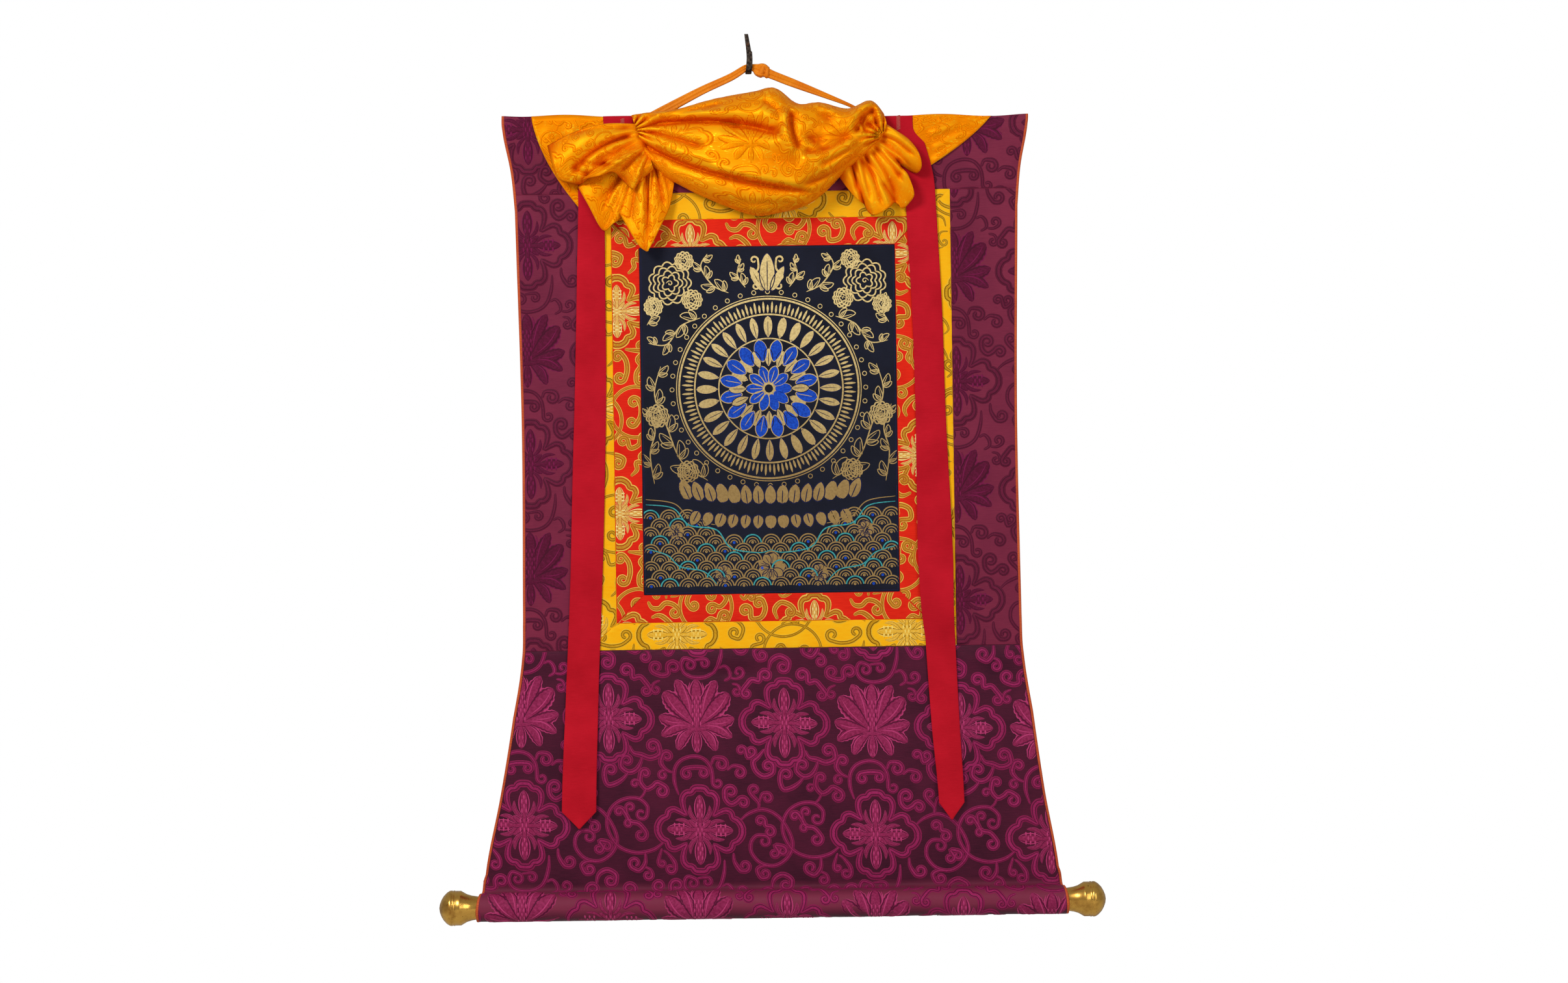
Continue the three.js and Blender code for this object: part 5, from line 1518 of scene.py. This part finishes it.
def fold_rise(folds, x, z):
    """How far the cloth rises at x and z for a table of folds: from, via, to, depth, width and step. A
    fold's line is a quadratic curve. The cloth sinks along it as a bell, and steps up to the left of its
    direction."""
    total = np.zeros(np.shape(x))
    for start, via, end, deep, wide, step in folds:
        line = bow(start, via, end, np.linspace(0, 1, 25))
        a, run = line[:-1], np.diff(line, axis=0)
        off_x, off_z = np.subtract.outer(x, a[:, 0]), np.subtract.outer(z, a[:, 1])
        share = np.clip((off_x * run[:, 0] + off_z * run[:, 1]) / (run**2).sum(axis=1), 0, 1)
        gap_x, gap_z = off_x - share * run[:, 0], off_z - share * run[:, 1]
        distance = np.hypot(gap_x, gap_z)
        nearest = distance.argmin(axis=-1)[..., None]
        read = lambda grid: np.take_along_axis(grid, nearest, axis=-1)[..., 0]
        side = np.where(read(run[:, 0] * gap_z - run[:, 1] * gap_x) < 0, -1, 1)
        near = read(distance)
        place = (nearest[..., 0] + read(share)) / (len(line) - 1)
        along = ease(np.minimum(place, 1 - place) * 5)
        lift = 0.5 * step * side * np.tanh(1.6 * near / wide) * bell(near, 3 * wide)
        total = total + along * (lift - deep * bell(near, wide))
    return total


def crumple(x, z, size):
    """Small uneven wrinkles: sines across each other, each bent by another, about `size` apart."""
    across = np.sin(x / size + 1.9 * np.sin(z / size * 0.43 + 1.2))
    down = np.sin(z / size * 0.8 + 1.4 * np.sin(x / size * 0.37))
    slanting = np.sin((0.7 * x + 0.9 * z) / size * 1.9 + 2.2 * np.sin(x / size * 0.6 + 2))
    return 0.65 * (across * down) + 0.35 * slanting


def radial_pleats(x, z, at, count, reach, facing, depth=6):
    """Pleats that run out of a gather: a rounded wave in the angle about it, dying away with distance."""
    off_x, off_z = x - at[0], z - at[1]
    away = np.hypot(off_x, off_z)
    angle = np.arctan2(off_z, off_x * facing)
    wave = np.sin(count * angle + 0.9 * np.sin(3 * angle + away / 40))
    return depth * (np.abs(wave) ** 0.8 * np.sign(wave)) * bell(away, reach) * ease(away / 9)


def veil_point(x, out, z):
    """A point so far out in front of the mount."""
    return in_frame(x, hung(x, np.minimum(z, 460)) - cloth_thick / 2 - out, z)


# Columns: upper edge x and z, lower edge x and z, fullness and distance of the back from the mount, per
# station.
swag_rows = (
    (-205, 470, -180, 400, 15, 1.4),
    (-172, 474, -160, 381, 30, 1.4),
    (-137, 477, -141, 367, 42, 1.4),
    (-77, 492, -79, 336, 60, 1.4),
    (-17, 502, -19, 314, 70, 1.4),
    (16, 507, 18, 317, 73, 1.4),
    (50, 483, 56, 326, 70, 1.4),
    (85, 484, 87, 345, 64, 1.4),
    (127, 474, 122, 379, 56, 1.4),
    (162, 486, 150, 402, 46, 2.6),
    (182, 466, 188, 441, 24, 7),
)
# Columns: from, via, to, depth, width and step to the left of its direction.
swag_folds = (
    ((-196, 452), (-66, 474), (34, 428), 19, 6, 17),
    ((-70, 450), (-4, 458), (30, 434), 13, 12, 0),
    ((-196, 436), (-118, 370), (92, 343), 12, 4.5, 19),
    ((-196, 447), (-150, 436), (-84, 414), 7, 5, 4),
    ((-190, 430), (-140, 404), (-70, 384), 5, 5, 4),
    ((-192, 458), (-130, 470), (-50, 486), 6, 6, 4),
    ((38, 474), (34, 432), (52, 404), 9, 5, -24),
    ((50, 404), (92, 392), (140, 436), 3, 7, -18),
    ((100, 470), (84, 440), (66, 414), 12, 18, 0),
    ((136, 430), (142, 464), (172, 474), 15, 6, 14),
    ((146, 442), (158, 448), (176, 450), 16, 9, 0),
    ((152, 416), (112, 372), (40, 350), 6, 6, -5),
    ((154, 424), (118, 398), (78, 380), 6, 5, 5),
    ((150, 434), (110, 424), (60, 424), 4, 7, 3),
    ((-10, 486), (24, 470), (30, 440), 5, 7, -4),
    ((-120, 346), (-30, 322), (60, 332), 3, 6, 3),
    ((-100, 430), (-20, 412), (40, 404), 2.4, 10, 2),
    ((-30, 396), (30, 384), (96, 392), 2, 9, -2),
)
swag_turn = 5


def swag_grid(stations, steps):
    """The swag's cloth. Between its upper and lower edges it swells forward as a power of a sine, less the
    folds, and at each edge it turns back behind itself."""
    row = along_rows(swag_rows, np.linspace(0, len(swag_rows) - 1, stations))
    top_x, top_z, low_x, low_z, full, back = row.T
    turned_back = 0.16
    v = np.linspace(-turned_back, 1 + turned_back, steps)[:, None]
    angle = np.clip(v, 0, 1) * math.pi
    s = (1 - np.cos(angle)) / 2 + np.where(v < 0, -v, 0) * 1.1 - np.where(v > 1, v - 1, 0) * 1.5
    x, z = between(top_x, low_x, s), between(top_z, low_z, s)
    swell = np.clip(np.sin(angle), 0, 1) ** 0.62
    folds = fold_rise(swag_folds, x, z) + radial_pleats(x, z, (-206, 446), 17, 46, 1)
    folds = folds + radial_pleats(x, z, (180, 430), 15, 36, -1)
    folds = folds + 0.5 * crumple(x, z, 24) * swell + 0.12 * crumple(x + 90, z, 9)
    body = np.maximum(full * swell + folds * np.minimum(1, swell * 1.4), full * swell * 0.4)
    tucked = ease(np.maximum(-v, v - 1) / 0.12)
    out = back + between(swag_turn * (1 - swell), 0.8, tucked) + body * (1 - tucked)
    return np.stack([x, out, z], axis=-1)


# Each fan's root runs from one point to another; belly and crown bow it forward and up. Columns of its hem:
# x, z and distance in front of the mount, at each crest, hollow and turn.
left_lobe = {
    "root": ((-192, 456), (-176, 402)), "root_out": 9, "belly": 14, "crown": 13,
    "hem": (
        (-334, 424.6, 14), (-326, 394, 27), (-317.5, 373, 25), (-299, 366, 20), (-283, 366, 12),
        (-279, 371, 26), (-254, 375, 42), (-234, 382, 38), (-221, 372, 20), (-204, 356, 30),
        (-193, 368, 17), (-172, 386, 24),
    ),
    "folds": (
        ((-192, 440), (-262, 428), (-300, 374), 13, 5, 15),
        ((-190, 450), (-240, 456), (-310, 436), 5, 6, 5),
        ((-192, 436), (-240, 404), (-270, 392), 6, 6, 6),
        ((-188, 424), (-230, 402), (-258, 378), 9, 4, 9),
        ((-184, 414), (-206, 396), (-224, 380), 9, 4, 7),
        ((-300, 392), (-288, 380), (-268, 378), 9, 4, -10),
        ((-286, 396), (-262, 388), (-240, 396), 7, 4, -8),
        ((-250, 400), (-236, 388), (-220, 392), 6, 4, 6),
    ),
}
left_tails = {
    "root": ((-196, 436), (-168, 402)), "root_out": 8, "belly": 3, "crown": 0,
    "hem": (
        (-289, 362, 8), (-274, 335, 14), (-252, 295, 10), (-235, 304, 15), (-222, 314, 8.5),
        (-224, 318, 15), (-199, 274, 25), (-186, 261, 22), (-179, 265, 29), (-159.5, 304, 18),
        (-148, 330, 12), (-141, 365, 9),
    ),
    "folds": (
        ((-186, 404), (-180, 340), (-182, 268), 9, 4, -12),
        ((-176, 404), (-160, 370), (-156, 324), 7, 4, 7),
        ((-200, 400), (-232, 372), (-252, 320), 7, 4, 7),
        ((-190, 390), (-206, 350), (-210, 300), 5, 4, -5),
        ((-214, 386), (-240, 350), (-262, 338), 4, 4, 4),
        ((-170, 400), (-150, 380), (-148, 350), 4, 4, 4),
    ),
}
right_fan = {
    "root": ((176, 446), (118, 396)), "root_out": 16, "belly": 8, "crown": 4,
    "hem": (
        (194, 444, 14), (218, 425.5, 28), (234, 404, 32), (239, 385, 28), (233, 375, 18), (222, 379, 10),
        (209, 388, 8.5), (207, 384, 20), (218, 368, 31), (227, 342, 27), (219, 328, 17), (209, 321, 10),
        (198, 330, 15), (188, 321, 28), (168, 310, 29), (158, 315, 18), (151, 328, 11), (141, 334, 27),
        (129, 348, 24), (114, 370, 12),
    ),
    "folds": (
        ((172, 436), (200, 430), (232, 396), 8, 3.5, 9),
        ((168, 430), (200, 410), (226, 378), 6, 3.5, -6),
        ((162, 422), (190, 398), (214, 356), 9, 4, 11),
        ((156, 416), (184, 380), (200, 334), 7, 4, -7),
        ((150, 410), (168, 372), (180, 318), 8, 4, 9),
        ((142, 406), (152, 372), (160, 326), 6, 4, -6),
        ((134, 402), (138, 376), (140, 342), 7, 4, 7),
        ((200, 400), (214, 384), (206, 366), 7, 4, 8),
        ((176, 360), (190, 348), (200, 326), 6, 4, -7),
    ),
}


def fan_grid(fan, across, down):
    """A fan of cloth from a short root to its pleated hem: straight lines between them, bowed forward by a
    sine."""
    u, v = np.meshgrid(np.linspace(0, 1, across), np.linspace(0, 1, down))
    edge = along_rows(fan["hem"], u * (len(fan["hem"]) - 1))
    (from_x, from_z), (to_x, to_z) = fan["root"]
    x = between(between(from_x, to_x, u), edge[..., 0], v)
    bowed = fan["crown"] * np.sin(math.pi * v) * (1 - u) ** 3
    z = between(between(from_z, to_z, u), edge[..., 1], v) + bowed
    spread_out = 1 - (1 - v) ** 1.5
    out = between(fan["root_out"], edge[..., 2], spread_out) + fan["belly"] * np.sin(math.pi * v)
    gathered = 2.2 * np.sin(u * 46 + 3 * np.sin(u * 9)) * np.sin(math.pi * np.clip(v * 1.6, 0, 1))
    wrinkles = 0.35 * crumple(x, z, 18) * ease(v * 4) + gathered
    out = out + (fold_rise(fan["folds"], x, z) * 0.9 + wrinkles) * ease(v * 5) * (1 - 0.35 * v)
    return np.stack([x, np.maximum(out, 3.4), z], axis=-1)


veil_left_cut = ((-359, 467), (-346, 398), (-283, 324))
veil_right_cut = ((350, 465), (318, 424), (232, 374))
corner_folds = (
    ((300, 455), (262, 440), (252, 432), -2.4, 5, 0),
    ((318, 440), (276, 424), (256, 412), -2.8, 6, 0),
    ((300, 424), (276, 404), (252, 392), -2.4, 5, 0),
    ((330, 456), (290, 446), (250, 436), -1.6, 5, 0),
    ((-300, 462), (-290, 420), (-262, 380), -2, 7, 0),
    ((-340, 460), (-330, 420), (-300, 370), -1.6, 7, 0),
)


def flat_grid(across, down):
    """The part that hangs flat: straight across between the two cut sides, which are quadratic curves."""
    u, v = np.meshgrid(np.linspace(0, 1, across), np.linspace(0, 1, down))
    left, right = bow(*veil_left_cut, v), bow(*veil_right_cut, v)
    x = between(left[..., 0], right[..., 0], u)
    low = between(left[..., 1], right[..., 1], u) + 66 * np.sin(math.pi * u) * v
    z = np.where(v == 0, top_edge(x), np.minimum(low, top_edge(x) - v))
    out = flat_silk_gap + flat_silk_thick / 2 + fold_rise(corner_folds, x, z)
    out = out + 0.35 + 0.35 * crumple(x, z, 19)
    return np.stack([x, out, z], axis=-1)


# Columns: the grid, the flat cloth's width and length in millimetres, and its thickness.
veil_parts = {
    "flat": (flat_grid(150, 40), 720, 130, flat_silk_thick),
    "swag": (swag_grid(210, 118), 430, 330, silk_thick),
    "lobe": (fan_grid(left_lobe, 130, 34), 330, 150, silk_thick),
    "tails": (fan_grid(left_tails, 120, 34), 360, 150, silk_thick),
    "fan": (fan_grid(right_fan, 190, 34), 520, 120, silk_thick),
}
add = new_material("orange_damask_silk")
uv = place_on(add, "UV")
fabric = woven(add, uv, 1700, 3200)
wrinkle_place = stretched(add, place_on(add, "Object"), (40, 40, 40))
wrinkle = noise(add, wrinkle_place, 1, 3, Distortion=1.4)
# Painted glints: short bright yellow streaks where the wrinkles and the streak noise both run high. The same
# places are also made glossier.
glint_streak_place = stretched(add, uv, (90, 240, 1), 0.5)
glint_streaks = noise(add, glint_streak_place, 1, 2, Distortion=2.0)
gloss_and_glint = spread(add, times(add, wrinkle, 0.5, glint_streaks), 0.86, 0.96)
tone = times(add, fabric.outputs["Slub"], 0.4, times(add, fabric.outputs["Cloud"], 0.6))
silk_colour = faded(add, tone, 0.32, 0.68, dye(242, 124, 0), dye(255, 158, 8))
# Painted highlight: the bright yellow glints mixed into the silk's colour.
silk_colour = mixed(add, times(add, gloss_and_glint, 0.8), silk_colour, dye(255, 206, 40))
# Painted highlight, a brighter yellow-orange, on the crests of the folds, and painted shade, a darker
# red-orange, in their hollows.
silk_colour = mixed(add, mark_on(add, "crest"), silk_colour, dye(255, 180, 20))
silk_colour = mixed(add, mark_on(add, "crease"), silk_colour, dye(206, 66, 0))
silk_height = times(add, wrinkle, 2.5, times(add, fabric.outputs["Slub"], 0.4, fabric.outputs["Thread"]))
silk_metal = 0.22
veil_silk = finish_material(
    "orange_damask_silk", silk_colour, spread(add, gloss_and_glint, 0, 1, 0.4, 0.24), silk_height, 0.14,
    Metallic=silk_metal, Specular_IOR_Level=0.25, Specular_Tint=dye(255, 190, 20),
)
veil_thread = figure_material(
    "silk_figure", dye(250, 142, 2), dye(255, 166, 12), dye(240, 124, 0), dye(222, 98, 0),
    dye(246, 136, 2), dye(255, 172, 14), 700, 0.3, 0.3, Metallic=silk_metal, Specular_Tint=dye(255, 200, 30),
)


def softened(grid, rounds):
    """A grid averaged with its neighbours again and again."""
    for _ in range(rounds):
        padded = np.pad(grid, 1, mode="edge")
        grid = (padded[:-2, 1:-1] + padded[2:, 1:-1] + padded[1:-1, :-2] + padded[1:-1, 2:] + 4 * grid) / 8
    return grid


def grid_place(x, z, wide, long, rows, columns):
    """The row and column of a grid, with their fractions, at plan points of its flat cloth."""
    return np.clip(-z / long, 0, 1) * (rows - 1), np.clip(x / wide, 0, 1) * (columns - 1)


def grid_lay(points, wide, long):
    """Gives a way to lay plan points on a grid of front points: each is read between its four neighbours,
    and moved out along the grid's normal by its height."""
    normal = normals(points)
    rows, columns = points.shape[:2]

    def lay(x, z, height):
        r, c = grid_place(x, z, wide, long, rows, columns)
        c0, r0 = np.minimum(c.astype(int), columns - 2), np.minimum(r.astype(int), rows - 2)
        fc, fr = (c - c0)[:, None], (r - r0)[:, None]

        def read(grid):
            """The grid between its four nearest points."""
            upper = between(grid[r0, c0], grid[r0, c0 + 1], fc)
            return between(upper, between(grid[r0 + 1, c0], grid[r0 + 1, c0 + 1], fc), fr)

        return read(points) + read(normal) * (height / 1000)[:, None]
    return lay


def grid_read(values, wide, long):
    """Gives a way to read a grid of values at plan points, at the nearest grid point."""
    def read(x, z):
        r, c = grid_place(x, z, wide, long, *values.shape)
        return values[np.rint(r).astype(int), np.rint(c).astype(int)]
    return read


silk_figure_rise, silk_figure_scale = 0.22, 0.62
relief_rounds, full_relief = 60, 3.2
veil_strips = raised_strips(brocade_repeat(), silk_figure_rise)
veil_figures, veil_area, points_so_far = [], 0.0, 0
silk_points, silk_faces, silk_flats, creases, crests = [], [], [], [], []
for part, (grid, wide, long, thick) in veil_parts.items():
    middle = veil_point(*np.moveaxis(grid, -1, 0))
    rows, columns = middle.shape[:2]
    flat_x, flat_z = np.meshgrid(np.linspace(0, wide, columns), np.linspace(0, -long, rows))
    hem = 1 + 0.9 * bell(flat_z + long, 2.5) if part != "swag" else 1.0
    points, faces, flat = sheet_arrays(middle, paired(flat_x, flat_z) / 1000, thick / 1000 * hem)
    silk_points.append(points)
    silk_faces.append(faces + points_so_far)
    silk_flats.append(flat)
    points_so_far += len(points)
    patches = np.cross(np.gradient(middle, axis=0), np.gradient(middle, axis=1))
    veil_area += float(np.linalg.norm(patches, axis=-1).sum())

    # How far each point lies behind or before the cloth round it gives painted shade in the hollows of its
    # folds and a painted highlight on their crests.
    relief = (grid[..., 1] - softened(grid[..., 1], relief_rounds)) / full_relief
    crease, crest = np.clip(-relief, 0, 1) * 0.8, np.clip(relief, 0, 1) * 0.7
    creases.append(np.tile(crease.ravel(), 2))
    crests.append(np.tile(crest.ravel(), 2))
    start_row = 0.3 * long if part in ("lobe", "tails", "fan") else 3

    def veil_cut(x, z, wide=wide, long=long, start_row=start_row):
        """Draws points back within the part."""
        return np.clip(x, 3, wide - 3), np.clip(z, -long + 4, -start_row)

    front = middle + normals(middle) * (thick / 2000)
    threads = figure_piece(
        f"veil_figure_{part}", veil_strips, grid_lay(front, wide, long), veil_thread,
        (0, -long, wide, -start_row), veil_cut, silk_figure_scale, shift=(40 + 0.3 * wide, 60),
        crease=grid_read(crease, wide, long),
    )
    veil_figures.append(threads)
veil = make_piece(
    "veil_silk_cloth", *(np.concatenate(parts) for parts in (silk_points, silk_faces, silk_flats)), veil_silk,
    crease=np.concatenate(creases), crest=np.concatenate(crests),
)
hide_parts("veil")
